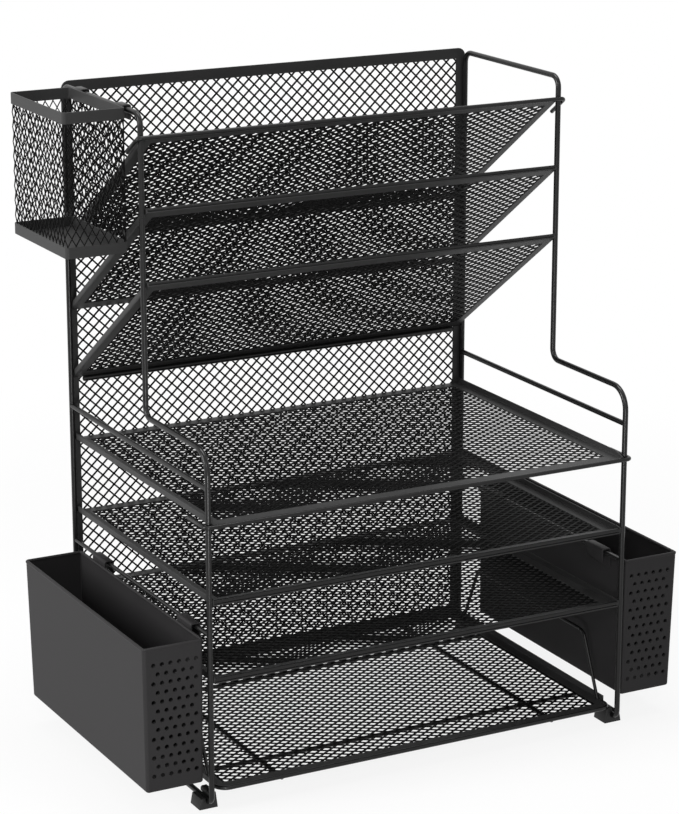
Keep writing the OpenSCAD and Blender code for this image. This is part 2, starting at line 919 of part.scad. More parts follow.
drawer_guard(left);  // drawer_guard_left
drawer_guard(right);  // drawer_guard_right
pen_box(left);  // pen_box_left
pen_box_front(left);  // pen_box_front_left
pen_box_bead(left);  // pen_box_bead_left
pen_box(right);  // pen_box_right
pen_box_front(right);  // pen_box_front_right
pen_box_bead(right);  // pen_box_bead_right
cup_rim();
cup_base();
cup_hooks();
cup_mesh_front();
cup_mesh_rear();
cup_long_wall(0);  // cup_mesh_inner
cup_long_wall(cup_w - sheet_t);  // cup_mesh_outer
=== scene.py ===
"""Looks of a black wire and mesh desk organizer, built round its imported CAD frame.

Lengths are in millimetres in the row frame (+X right, +Y back, +Z up) until a piece is
made, when its mesh is scaled to metres.
"""

from __future__ import annotations

import logging
import math
from dataclasses import dataclass
from enum import Enum
from typing import Any, ClassVar, Iterable, Sequence

import bmesh
import bpy
from mathutils import Matrix, Vector


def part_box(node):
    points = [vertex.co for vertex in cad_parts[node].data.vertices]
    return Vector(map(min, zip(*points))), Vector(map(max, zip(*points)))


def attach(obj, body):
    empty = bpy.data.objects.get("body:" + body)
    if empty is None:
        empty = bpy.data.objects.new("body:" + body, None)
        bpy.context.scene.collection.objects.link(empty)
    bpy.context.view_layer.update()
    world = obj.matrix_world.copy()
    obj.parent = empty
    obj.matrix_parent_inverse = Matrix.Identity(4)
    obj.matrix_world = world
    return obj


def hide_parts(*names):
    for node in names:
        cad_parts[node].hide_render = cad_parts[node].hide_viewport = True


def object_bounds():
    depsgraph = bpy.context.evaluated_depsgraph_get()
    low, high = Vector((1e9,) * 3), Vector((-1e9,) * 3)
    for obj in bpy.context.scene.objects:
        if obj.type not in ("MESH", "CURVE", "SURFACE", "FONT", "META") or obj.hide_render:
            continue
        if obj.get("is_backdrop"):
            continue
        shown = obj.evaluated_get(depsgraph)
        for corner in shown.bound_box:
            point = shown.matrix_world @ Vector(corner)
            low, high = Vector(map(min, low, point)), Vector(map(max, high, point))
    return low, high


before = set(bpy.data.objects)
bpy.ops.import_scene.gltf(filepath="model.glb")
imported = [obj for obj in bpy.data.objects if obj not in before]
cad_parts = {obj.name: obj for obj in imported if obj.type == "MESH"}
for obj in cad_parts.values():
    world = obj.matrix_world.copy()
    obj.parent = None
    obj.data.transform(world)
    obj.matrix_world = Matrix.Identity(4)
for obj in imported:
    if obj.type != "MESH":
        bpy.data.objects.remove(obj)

LOG = logging.getLogger("organizer")
MM = 0.001
EDGE_WIRE = 3.0
SHEET = 1.0
HOOK_SHEET = 1.2
TUCK = 1.5
NEAR = 0.01
Shape = bmesh.types.BMesh
Edges = list[bmesh.types.BMEdge]


# ---------------------------------------------------------------- shader expressions


class Value:
    """A socket that takes part in Python expressions, each adding its Math node."""

    def __init__(self, shader: "Shader", socket: bpy.types.NodeSocket) -> None:
        """Wraps one output socket of a shader's node."""
        self.shader = shader
        self.socket = socket

    def _math(self, operation: str, first: Any, second: Any) -> "Value":
        """Adds a Math node and returns its result."""
        node = self.shader.node("ShaderNodeMath", {"operation": operation}, {0: first, 1: second})
        return Value(self.shader, node.outputs[0])

    def __add__(self, other: Any) -> "Value":
        """self + other."""
        return self._math("ADD", self, other)

    __radd__ = __add__

    def __mul__(self, other: Any) -> "Value":
        """self * other."""
        return self._math("MULTIPLY", self, other)

    __rmul__ = __mul__

    def __sub__(self, other: Any) -> "Value":
        """self - other."""
        return self._math("SUBTRACT", self, other)

    def __rsub__(self, other: Any) -> "Value":
        """other - self."""
        return self._math("SUBTRACT", other, self)

    def at_most(self, other: Any) -> "Value":
        """The smaller of self and other."""
        return self._math("MINIMUM", self, other)

    def at_least(self, other: Any) -> "Value":
        """The larger of self and other."""
        return self._math("MAXIMUM", self, other)


class Shader:
    """The node tree of one material, or of the world."""

    def __init__(self, owner: bpy.types.Material | bpy.types.World) -> None:
        """Empties the tree of its owner.

        Args:
            owner: the material or the world.
        """
        self.owner = owner
        owner.use_nodes = True
        self.tree = owner.node_tree
        self.tree.nodes.clear()

    def node(
        self,
        kind: str,
        settings: dict[str, Any] | None = None,
        inputs: dict[Any, Any] | None = None,
    ) -> bpy.types.Node:
        """Adds any node.

        Args:
            kind: the node's Blender type.
            settings: properties, set first; "stops" holds a ramp's (position, grey) pairs.
            inputs: values or links, by the socket's name or number.

        Returns:
            The new node.
        """
        made = self.tree.nodes.new(kind)
        for key, value in (settings or {}).items():
            if key == "stops":
                self._set_stops(made.color_ramp, value)
            else:
                setattr(made, key, value)
        for key, value in (inputs or {}).items():
            if isinstance(value, Value):
                self.tree.links.new(value.socket, made.inputs[key])
            else:
                made.inputs[key].default_value = value
        return made

    @staticmethod
    def _set_stops(ramp: bpy.types.ColorRamp, stops: Sequence[tuple[float, float]]) -> None:
        """Gives a ramp its grey stops.

        Args:
            ramp: the ramp to set.
            stops: two or more (position, grey) pairs.
        """
        while len(ramp.elements) < len(stops):
            ramp.elements.new(0.5)
        for element, (position, grey) in zip(ramp.elements, stops):
            element.position = position
            element.color = (grey, grey, grey, 1.0)

    def value(self, node: bpy.types.Node, socket: Any = 0) -> Value:
        """One output of a node, ready for expressions."""
        return Value(self, node.outputs[socket])

    def place(self) -> Value:
        """The piece's own coordinates, in metres."""
        return self.value(self.node("ShaderNodeTexCoord"), "Object")

    def noise(self, size_mm: float, detail: float = 2.0, rough: float = 0.5) -> Value:
        """Noise from 0 to 1.

        Args:
            size_mm: about how wide its blotches are.
            detail: how many finer layers it has.
            rough: how strong the finer layers are.

        Returns:
            The noise.
        """
        inputs = {"Vector": self.place(), "Scale": 1 / (size_mm * MM)}
        inputs.update({"Detail": detail, "Roughness": rough})
        return self.value(self.node("ShaderNodeTexNoise", {"noise_dimensions": "3D"}, inputs))

    def tint(self, dark: Sequence[float], light: Sequence[float], mask: Value) -> Value:
        """A colour between dark and light, by a mask from 0 to 1."""
        colours = {0: mask, 6: (*dark, 1.0), 7: (*light, 1.0)}
        return self.value(self.node("ShaderNodeMix", {"data_type": "RGBA"}, colours), 2)

    def bump(self, height: Value, strength: float, depth_mm: float) -> Value:
        """A normal roughened by a height from 0 to 1."""
        relief = {"Strength": strength, "Distance": depth_mm * MM, "Height": height}
        return self.value(self.node("ShaderNodeBump", None, relief), "Normal")

    def seen(self) -> Value:
        """Tells the rays that show the scene from those that light it.

        Returns:
            1 on camera, glossy and transmission rays, and 0 on the others.
        """
        path = self.node("ShaderNodeLightPath")
        camera, glossy, through = (
            self.value(path, f"Is {kind} Ray") for kind in ("Camera", "Glossy", "Transmission")
        )
        return camera.at_least(glossy).at_least(through)

    def surface(self, kind: str, **sockets: Any) -> Value:
        """The output of a surface shader; its inputs' names have underscores for spaces."""
        inputs = {key.replace("_", " "): value for key, value in sockets.items()}
        return self.value(self.node(kind, None, inputs))

    def ended(self, kind: str, surface: Value) -> Any:
        """Links a surface to the output node of that type and returns the tree's owner."""
        self.node(kind, None, {"Surface": surface})
        return self.owner


# ---------------------------------------------------------------- finishes


@dataclass(frozen=True)
class Finish:
    """A finish, made a material once and worn by every piece that has it."""

    name: str
    slot: str
    dark: tuple[float, float, float]
    light: tuple[float, float, float]
    roughness: float

    def material(self) -> bpy.types.Material:
        """The finish's material."""
        kept = bpy.data.materials
        return kept.get(self.name) or self.made(Shader(kept.new(self.name)))

    def made(self, shader: Shader) -> bpy.types.Material:
        """Fills the material's tree."""
        raise NotImplementedError


@dataclass(frozen=True)
class PowderCoat(Finish):
    """Powder paint baked on steel: a near black film with an orange-peel skin."""

    gloss: float
    peel_mm: float
    peel_depth_mm: float
    grit: float = 0.0
    cloud_mm: float = 28.0
    speck_stops: tuple[tuple[float, float], ...] = ((0.62, 0.0), (0.74, 1.0))
    bump: float = 0.55

    def made(self, shader: Shader) -> bpy.types.Material:
        """Clouds, the peel and its specks, in tint, roughness and relief.

        Args:
            shader: the material's empty tree.

        Returns:
            The material.
        """
        cloud = shader.noise(self.cloud_mm, 3)
        peel = shader.noise(self.peel_mm, 3, 0.6)
        grain = shader.noise(self.peel_mm / 3, 2)
        speck = shader.value(
            shader.node("ShaderNodeValToRGB", {"stops": self.speck_stops}, {0: grain})
        )
        mask = cloud * 0.5 + peel * 0.3 + speck * (0.2 + self.grit)
        rough = self.roughness - 0.05 + cloud * 0.06 + peel * 0.06 + speck * self.grit * 0.5
        height = peel * (1 - self.grit) + grain * self.grit
        film = shader.surface(
            "ShaderNodeBsdfPrincipled",
            Base_Color=shader.tint(self.dark, self.light, mask.at_most(1.0)),
            Roughness=rough,
            Specular_IOR_Level=self.gloss,
            Normal=shader.bump(height, self.bump, self.peel_depth_mm),
        )
        return shader.ended("ShaderNodeOutputMaterial", film)


@dataclass(frozen=True)
class MouldedPlastic(Finish):
    """Matt black moulded plastic with a faint spark-eroded grain."""

    gloss: float = 0.3
    grain_mm: float = 0.35
    grain_depth_mm: float = 0.03
    cloud_mm: float = 9.0
    bump: float = 0.5

    def made(self, shader: Shader) -> bpy.types.Material:
        """Clouds and grain, in tint, roughness and relief.

        Args:
            shader: the material's empty tree.

        Returns:
            The material.
        """
        grain = shader.noise(self.grain_mm, 3, 0.6)
        cloud = shader.noise(self.cloud_mm, 2)
        skin = shader.surface(
            "ShaderNodeBsdfPrincipled",
            Base_Color=shader.tint(self.dark, self.light, cloud * 0.6 + grain * 0.4),
            Roughness=self.roughness + grain * 0.12,
            Specular_IOR_Level=self.gloss,
            Normal=shader.bump(grain, self.bump, self.grain_depth_mm),
        )
        return shader.ended("ShaderNodeOutputMaterial", skin)


WIRE_COAT = PowderCoat("wire_coat", "wire", (0.004,) * 3, (0.01,) * 3, 0.28, 0.27, 1.2, 0.005)
SHEET_COAT = PowderCoat(
    "sheet_coat", "rim_sheet", (0.036,) * 3, (0.054,) * 3, 0.42, 0.12, 1.0, 0.02
)
MESH_COAT = PowderCoat(
    "mesh_coat", "mesh_sheet", (0.002,) * 3, (0.006,) * 3, 0.5, 0.06, 1.2, 0.015
)
BOX_COAT = PowderCoat(
    "box_coat",
    "box_sheet",
    (0.025, 0.0242, 0.025),
    (0.038, 0.0367, 0.0376),
    0.5,
    0.1,
    0.7,
    0.03,
    0.35,
)
FOOT_PLASTIC = MouldedPlastic(
    "foot_plastic_grain", "foot_plastic", (0.006,) * 3, (0.014,) * 3, 0.5
)


# ---------------------------------------------------------------- shapes


class Side(Enum):
    """Which side of the object a piece is on, seen from the front."""

    LEFT = -1
    RIGHT = 1

    @property
    def word(self) -> str:
        """The side as piece names have it."""
        return self.name.lower()


class WireEnd(Enum):
    """How a wire's end is finished."""

    ROUNDED = "rounded"
    CUT = "cut"
    BURIED = "buried"


@dataclass(frozen=True)
class Extent:
    """The box of a CAD node, in millimetres."""

    lo: Vector
    hi: Vector

    @classmethod
    def of(cls, node: str) -> "Extent":
        """The box of that node at rest."""
        lo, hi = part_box(node)
        return cls(Vector(lo) / MM, Vector(hi) / MM)

    @property
    def mid(self) -> Vector:
        """The middle of the box."""
        return (self.lo + self.hi) / 2

    @property
    def size(self) -> Vector:
        """The box's lengths."""
        return self.hi - self.lo


def side_plane(x: float) -> Matrix:
    """Maps a drawing's (a, b) to y = a and z = b in the upright plane at that x."""
    return Matrix(((0, 0, 1, x), (1, 0, 0, 0), (0, 1, 0, 0), (0, 0, 0, 1)))


def flat_at(y: float, z: float, tilt: float = 0.0) -> Matrix:
    """Maps a flat drawing to a sheet whose origin is at (0, y, z), tilted down to the back."""
    return Matrix.Translation((0, y, z)) @ Matrix.Rotation(-tilt, 4, "X")


def moved(shape: Shape, place: Matrix) -> Shape:
    """The shape, put in its place."""
    bmesh.ops.transform(shape, matrix=place, verts=shape.verts)
    return shape


def as_mesh(name: str, shape: Shape) -> bpy.types.Mesh:
    """Turns a shape into a mesh.

    Args:
        name: the mesh's name.
        shape: the shape, which is used up.

    Returns:
        The mesh.
    """
    mesh = bpy.data.meshes.new(name)
    shape.to_mesh(mesh)
    shape.free()
    return mesh


def shown(name: str, data: bpy.types.ID) -> bpy.types.Object:
    """Puts a mesh, lamp or camera in the scene.

    Args:
        name: the object's name.
        data: what it shows.

    Returns:
        The object.
    """
    obj = bpy.data.objects.new(name, data)
    bpy.context.scene.collection.objects.link(obj)
    return obj


def joined(shapes: Iterable[Shape]) -> Shape:
    """Joins shapes, which are used up.

    Args:
        shapes: the shapes to join.

    Returns:
        One shape that holds them all.
    """
    whole = bmesh.new()
    for shape in shapes:
        held = as_mesh("held", shape)
        whole.from_mesh(held)
        bpy.data.meshes.remove(held)
    return whole


def verts_of(geometry: Iterable[Any]) -> list[bmesh.types.BMVert]:
    """The vertices in an operator's result."""
    return [item for item in geometry if isinstance(item, bmesh.types.BMVert)]


def edges_of(geometry: Iterable[Any]) -> Edges:
    """The edges in an operator's result."""
    return [item for item in geometry if isinstance(item, bmesh.types.BMEdge)]


def ends_of(edges: Iterable[bmesh.types.BMEdge]) -> list[bmesh.types.BMVert]:
    """The vertices of some edges, each once."""
    return list({v for e in edges for v in e.verts})


def pulled(shape: Shape, edges: Edges, by: Vector) -> Edges:
    """Extrudes edges and moves the new ones.

    Args:
        shape: the shape that holds the edges.
        edges: the edges to extrude.
        by: how far the new edges go.

    Returns:
        The new edges at the far end.
    """
    made = bmesh.ops.extrude_edge_only(shape, edges=edges)["geom"]
    ends = set(verts_of(made))
    bmesh.ops.translate(shape, verts=list(ends), vec=by)
    return [e for e in edges_of(made) if set(e.verts) <= ends]


def rounded(
    shape: Shape,
    geom: Sequence[Any],
    offset: float,
    segments: int,
    affect: str = "EDGES",
    **more: Any,
) -> None:
    """Rounds edges or flat corners.

    Args:
        shape: the shape that holds them.
        geom: the edges or vertices to round.
        offset: how far the rounding reaches.
        segments: how many steps it has.
        affect: EDGES or VERTICES.
        more: the operator's other settings.
    """
    bmesh.ops.bevel(
        shape,
        geom=geom,
        offset=offset,
        offset_type="OFFSET",
        affect=affect,
        segments=segments,
        profile=0.5,
        material=-1,
        **more,
    )


def softened(shape: Shape, soften: float, over_angle: float = 40.0) -> Shape:
    """Rounds the sharp edges of a closed shape.

    Args:
        shape: the closed shape.
        soften: size of the rounding.
        over_angle: edges sharper than this many degrees are rounded.

    Returns:
        The same shape.
    """
    sharp = [
        e
        for e in shape.edges
        if len(e.link_faces) == 2 and e.calc_face_angle(0.0) > math.radians(over_angle)
    ]
    if sharp:
        rounded(shape, sharp, soften, segments=2, clamp_overlap=True)
    return shape


def thickened(shape: Shape, thickness: float, soften: float, over_angle: float = 40.0) -> Shape:
    """Gives a sheet its thickness, centred, and softens its edges.

    Args:
        shape: the sheet without thickness.
        thickness: the sheet's thickness.
        soften: size of the rounding along each sharp edge.
        over_angle: edges sharper than this many degrees are rounded.

    Returns:
        The same shape, now solid.
    """
    bmesh.ops.recalc_face_normals(shape, faces=shape.faces)
    outer = {v: v.co + v.normal * thickness / 2 for v in shape.verts}
    for vert, place in outer.items():
        vert.co = place
    bmesh.ops.solidify(shape, geom=shape.faces, thickness=thickness)
    bmesh.ops.recalc_face_normals(shape, faces=shape.faces)
    return softened(shape, soften, over_angle)


def sliced(shape: Shape, point: Sequence[float], outward: Sequence[float]) -> Edges:
    """Cuts away what lies beyond a plane.

    Args:
        shape: the shape to cut.
        point: a point of the plane.
        outward: the direction in which all is cut away.

    Returns:
        The edges along the cut.
    """
    cut = bmesh.ops.bisect_plane(
        shape,
        geom=list(shape.verts) + list(shape.edges) + list(shape.faces),
        dist=1e-4,
        plane_co=point,
        plane_no=outward,
        clear_outer=True,
    )
    return edges_of(cut["geom_cut"])


def ruled_sheet(
    xs: Sequence[float], ys: Sequence[float], gone: Iterable[tuple[int, int]]
) -> Shape:
    """A flat sheet of cells between ruled lines, with some of the cells cut out.

    Args:
        xs: positions of the lines across, rising.
        ys: positions of the lines along, rising.
        gone: (column, row) of the cells that are open.

    Returns:
        The sheet, facing up, without thickness.
    """
    shape = bmesh.new()
    columns, rows = len(xs) - 1, len(ys) - 1
    bmesh.ops.create_grid(shape, x_segments=columns, y_segments=rows, size=1.0)

    def cell(place: Vector) -> tuple[float, float]:
        """Where a point of the grid from -1 to 1 falls, in cells."""
        return (place.x + 1) / 2 * columns, (place.y + 1) / 2 * rows

    centres = {face: cell(face.calc_center_median()) for face in shape.faces}
    cut = [face for face, (i, j) in centres.items() if (int(i), int(j)) in gone]
    bmesh.ops.delete(shape, geom=cut, context="FACES")
    for vert in shape.verts:
        i, j = cell(vert.co)
        vert.co.x, vert.co.y = xs[round(i)], ys[round(j)]
    return shape


@dataclass
class BentWire:
    """A round wire bent in the XY plane, with a bend radius at each corner."""

    corners: Sequence[tuple[float, float]]
    bends: Sequence[float]
    diameter: float
    closed: bool = False
    end: WireEnd = WireEnd.ROUNDED
    sides: int = 16
    chamfer: float = 0.25
    dome: float = 0.6
    dome_tip: float = 0.08
    bend_step: float = 0.2

    @classmethod
    def straight(cls, start: float, stop: float, diameter: float, **more: Any) -> "BentWire":
        """A straight wire along the drawing's X axis."""
        return cls([(start, 0), (stop, 0)], [0, 0], diameter, **more)

    @classmethod
    def hooked(cls, half: float, run: float, bend: float, end: WireEnd) -> "BentWire":
        """An edge wire across the front whose ends turn back at x = +-half."""
        corners = [(-half, run), (-half, 0), (half, 0), (half, run)]
        return cls(corners, [0, bend, bend, 0], EDGE_WIRE, end=end)

    @classmethod
    def lying(cls, half: float) -> "BentWire":
        """A straight edge wire that lies between a sheet's side lips."""
        y = EDGE_WIRE / 2
        return cls([(-half, y), (half, y)], [0, 0], EDGE_WIRE, end=WireEnd.BURIED)

    def _corner(self, i: int) -> Vector:
        """Corner i, counted round a closed wire."""
        return Vector((*self.corners[i % len(self.corners)], 0.0))

    def _heading(self, i: int) -> Vector:
        """Direction from corner i to the next."""
        return (self._corner(i + 1) - self._corner(i)).normalized()

    def _turn(self, i: int) -> float:
        """How much the wire turns at a corner.

        Args:
            i: the corner.

        Returns:
            The signed turn in radians, or 0 at a free end.
        """
        count = len(self.corners)
        if not self.closed and i % count in (0, count - 1):
            return 0.0
        before, after = self._heading(i - 1), self._heading(i)
        return math.atan2(before.cross(after).z, before.dot(after))

    def _cut(self, i: int) -> float:
        """How much of each leg the bend at corner i takes."""
        return self.bends[i % len(self.bends)] * math.tan(abs(self._turn(i)) / 2)

    def _end_rings(self) -> list[tuple[float, float]]:
        """The rings that close an end.

        Returns:
            How far out and how wide each of them is.
        """
        r = self.diameter / 2
        if self.end is WireEnd.BURIED:
            return []
        if self.end is WireEnd.CUT:
            return [(self.chamfer, r - self.chamfer)]
        turns = (math.pi / 6, math.pi / 3, math.pi / 2)
        return [(self.dome * r * math.sin(a), r * max(math.cos(a), self.dome_tip)) for a in turns]

    def _cap(self, shape: Shape, edges: Edges, outward: Vector) -> None:
        """Closes an end with its rings and a flat middle.

        Args:
            shape: the wire's skin.
            edges: the ring of edges at the end.
            outward: the direction in which the wire ends.
        """
        centre = sum((v.co for e in edges for v in e.verts), Vector()) / (2 * len(edges))
        out, width = 0.0, self.diameter / 2
        for rise, radius in self._end_rings():
            step = outward * (rise - out)
            edges = pulled(shape, edges, step)
            centre += step
            bmesh.ops.scale(
                shape,
                vec=(radius / width,) * 3,
                space=Matrix.Translation(-centre),
                verts=ends_of(edges),
            )
            out, width = rise, radius
        bmesh.ops.contextual_create(shape, geom=edges)

    def _bent(self, shape: Shape, edges: Edges, i: int) -> Edges:
        """Spins the ring of edges round the bend at corner i.

        Args:
            shape: the wire's skin.
            edges: the ring where the bend starts.
            i: the corner.

        Returns:
            The ring where the bend ends.
        """
        turn, heading = self._turn(i), self._heading(i - 1)
        if abs(turn) < 1e-6:
            return edges
        inward = Vector((-heading.y, heading.x, 0)) * math.copysign(1, turn)
        start = self._corner(i) - heading * self._cut(i)
        spun = bmesh.ops.spin(
            shape,
            geom=ends_of(edges) + list(edges),
            cent=start + inward * self.bends[i % len(self.bends)],
            axis=(0, 0, 1),
            angle=turn,
            steps=max(3, round(abs(turn) / self.bend_step)),
            use_merge=False,
            use_duplicate=False,
        )
        return edges_of(spun["geom_last"])

    def shape(self) -> Shape:
        """Draws a ring along the wire, leg by leg and bend by bend.

        Returns:
            The wire's closed skin, in its own plane.
        """
        shape = bmesh.new()
        legs = len(self.corners) - (0 if self.closed else 1)
        start = self._corner(0) + self._heading(0) * self._cut(0)
        stand = self._heading(0).to_track_quat("Z", "Y").to_matrix().to_4x4()
        bmesh.ops.create_circle(
            shape,
            cap_ends=False,
            segments=self.sides,
            radius=self.diameter / 2,
            matrix=Matrix.Translation(start) @ stand,
        )
        first = edges = list(shape.edges)
        for i in range(legs):
            run = (self._corner(i + 1) - self._corner(i)).length - self._cut(i) - self._cut(i + 1)
            edges = self._bent(shape, pulled(shape, edges, self._heading(i) * run), i + 1)
        if self.closed:
            bmesh.ops.remove_doubles(shape, verts=shape.verts, dist=NEAR)
        else:
            self._cap(shape, first, -self._heading(0))
            self._cap(shape, edges, self._heading(legs - 1))
        bmesh.ops.recalc_face_normals(shape, faces=shape.faces)
        return shape


@dataclass
class ExpandedMesh:
    """Expanded metal: rows of diamonds, each set in the gap of the rows beside it."""

    width: float
    height: float
    pitch_x: float
    pitch_y: float
    strand: float
    thickness: float
    ridge: float = 0.18

    def _cells(self) -> Shape:
        """Turns a square grid into diamonds.

        Returns:
            The field, trimmed to the rectangle from (-width / 2, 0).
        """
        shape = bmesh.new()
        count = math.ceil(self.width / self.pitch_x + self.height / self.pitch_y) + 2
        bmesh.ops.create_grid(shape, x_segments=count, y_segments=count, size=count / 2)
        half, x, y = self.width / 2, self.pitch_x / 2, self.pitch_y / 2
        turn = ((x, -x, 0, 0), (y, y, 0, self.height / 2), (0, 0, 1, 0), (0, 0, 0, 1))
        moved(shape, Matrix(turn))
        sliced(shape, (half, 0, 0), (1, 0, 0))
        sliced(shape, (-half, 0, 0), (-1, 0, 0))
        sliced(shape, (0, self.height, 0), (0, 1, 0))
        sliced(shape, (0, 0, 0), (0, -1, 0))
        return shape

    def shape(self) -> Shape:
        """Leaves strands between the diamonds, with a low ridge along each.

        Returns:
            The net, centred on its thickness.
        """
        shape = self._cells()
        cells = list(shape.faces)
        crest = list(shape.verts)
        bmesh.ops.inset_individual(
            shape, faces=cells, thickness=self.strand / 2, use_even_offset=True
        )
        bmesh.ops.delete(shape, geom=cells, context="FACES_ONLY")
        bmesh.ops.translate(shape, verts=crest, vec=(0, 0, self.ridge))
        bmesh.ops.recalc_face_normals(shape, faces=shape.faces)
        if sum(f.normal.z for f in shape.faces) < 0:
            bmesh.ops.reverse_faces(shape, faces=shape.faces)
        bmesh.ops.solidify(shape, geom=shape.faces, thickness=self.thickness)
        middle, reach = (self.ridge - self.thickness) / 2, (self.ridge + self.thickness) / 2
        for vert in shape.verts:
            vert.co.z = max(-reach, min(reach, vert.co.z - middle))
        return shape


@dataclass
class Piece:
    """What a finished mesh stands for and how it is dressed."""

    name: str
    finish: Finish
    body: str
    nodes: Sequence[str] = ()
    smooth_angle: float = 50.0
    weighted: bool = False

    @property
    def slot(self) -> str:
        """The finish's slot."""
        return self.finish.slot

    def make(self, shape: Shape) -> bpy.types.Object:
        """Turns a shape in millimetres into the scene's object.

        Args:
            shape: the finished shape, in its place in the row frame.

        Returns:
            The object, riding on its body.
        """
        bmesh.ops.scale(shape, vec=(MM, MM, MM), verts=shape.verts)
        mesh = as_mesh(self.name, shape)
        mesh.materials.append(self.finish.material())
        mesh.shade_smooth()
        mesh.set_sharp_from_angle(angle=math.radians(self.smooth_angle))
        obj = shown(self.name, mesh)
        if self.weighted:
            modifier = obj.modifiers.new("even_flats", "WEIGHTED_NORMAL")
            modifier.keep_sharp = True
        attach(obj, self.body)
        if self.nodes:
            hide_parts(*self.nodes)
        self.slot
        LOG.info("%s: %d faces on %s", self.name, len(mesh.polygons), self.body)
        return obj


# ---------------------------------------------------------------- sub-assemblies


@dataclass
class SideFrame:
    """One bent side frame with its two welded rails."""

    side: Side
    wire: float = 4.0
    shoulder_z: float = 256.0
    upper_y: float = -16.0
    shoulder_bend: float = 16.0
    bend: float = 8.0
    bottom_bend: float = 5.0
    body: str = "sorter"

    def loop(self) -> Shape:
        """Runs up the front, back over the shoulder, up, back and down.

        Returns:
            The closed loop.
        """
        box = Extent.of(f"side_frame_{self.side.word}")
        r = self.wire / 2
        y0, y1, z0, z1 = box.lo.y + r, box.hi.y - r, box.lo.z + r, box.hi.z - r
        bends = {
            (y0, z0): self.bottom_bend,
            (y0, self.shoulder_z): self.shoulder_bend,
            (self.upper_y, self.shoulder_z): self.bend,
            (self.upper_y, z1): self.bend,
            (y1, z1): self.bend,
            (y1, z0): self.bottom_bend,
        }
        wire = BentWire(list(bends), list(bends.values()), self.wire, closed=True, sides=20)
        return moved(wire.shape(), side_plane(box.mid.x))

    def side_rail(self, node: str) -> Shape:
        """Runs a rail between the front and rear wires, its ends buried in them.

        Args:
            node: the rail's CAD node.

        Returns:
            The rail.
        """
        box = Extent.of(node)
        wire = BentWire.straight(box.lo.y - 1, box.hi.y + 1, box.size.z, end=WireEnd.BURIED)
        return moved(wire.shape(), Matrix.Translation((0, 0, box.mid.z)) @ side_plane(box.mid.x))

    def build(self) -> None:
        """Makes the frame's pieces."""
        word = self.side.word
        loop = Piece(f"frame_loop_{word}", WIRE_COAT, self.body, (f"side_frame_{word}",))
        loop.make(self.loop())
        for rail in ("guard_rail", "box_rail"):
            node = f"{rail}_{word}"
            Piece(f"{rail}_wire_{word}", WIRE_COAT, self.body, (node,)).make(self.side_rail(node))


@dataclass
class CrossWires:
    """The straight wires that run across under the trays and the lowest pocket."""

    body: str = "sorter"

    def build(self) -> None:
        """Makes the two cross bars and the rest bar."""
        for node in ("cross_bar_front", "cross_bar_rear", "pocket_rest_bar"):
            box = Extent.of(node)
            dome = BentWire.dome * box.size.z / 2
            wire = BentWire.straight(box.lo.x + dome, box.hi.x - dome, box.size.z)
            place = Matrix.Translation((0, box.mid.y, box.mid.z))
            Piece(f"{node}_wire", WIRE_COAT, self.body, (node,)).make(moved(wire.shape(), place))


@dataclass
class Foot:
    """A plastic foot snapped on a bottom rail."""

    node: str
    rail_z: float = 6.0
    bore: float = 2.05
    cheek_z: float = 8.0
    taper: float = 1.5
    throat: float = 0.8
    mouth: float = 1.9
    lead_in: float = 1.0
    edge_round: float = 0.35
    body: str = "sorter"

    def outline(self, half: float, high: float) -> list[tuple[float, float]]:
        """The clip's section.

        Args:
            half: half the sole's width.
            high: height of the barb over the rail.

        Returns:
            Its corners, in turn.
        """
        arc = [
            (self.bore * math.cos(a), self.rail_z + self.bore * math.sin(a))
            for a in (math.radians(360 - 22.5 * k) for k in range(9))
        ]
        barb = [(half - self.taper, high), (self.mouth, high), (self.throat, high - self.lead_in)]
        cheek = [(-self.bore, self.cheek_z), (-half + self.taper, self.cheek_z)]
        inner = [(self.throat, self.cheek_z), (self.bore, self.cheek_z)]
        return [(-half, 0), (half, 0), *barb, *inner, *arc, *cheek]

    def build(self) -> None:
        """Makes the foot as an extruded clip with softened edges."""
        box = Extent.of(self.node)
        sign = 1 if box.mid.x > 0 else -1
        shape = bmesh.new()
        outline = self.outline(box.size.x / 2, box.hi.z)
        face = shape.faces.new([shape.verts.new((-sign * x, 0, z)) for x, z in outline])
        made = bmesh.ops.extrude_face_region(shape, geom=[face])["geom"]
        bmesh.ops.translate(shape, verts=verts_of(made), vec=(0, box.size.y, 0))
        bmesh.ops.recalc_face_normals(shape, faces=shape.faces)
        softened(shape, self.edge_round)
        moved(shape, Matrix.Translation((box.mid.x, box.lo.y, 0)))
        Piece(f"{self.node}_clip", FOOT_PLASTIC, self.body, (self.node,)).make(shape)


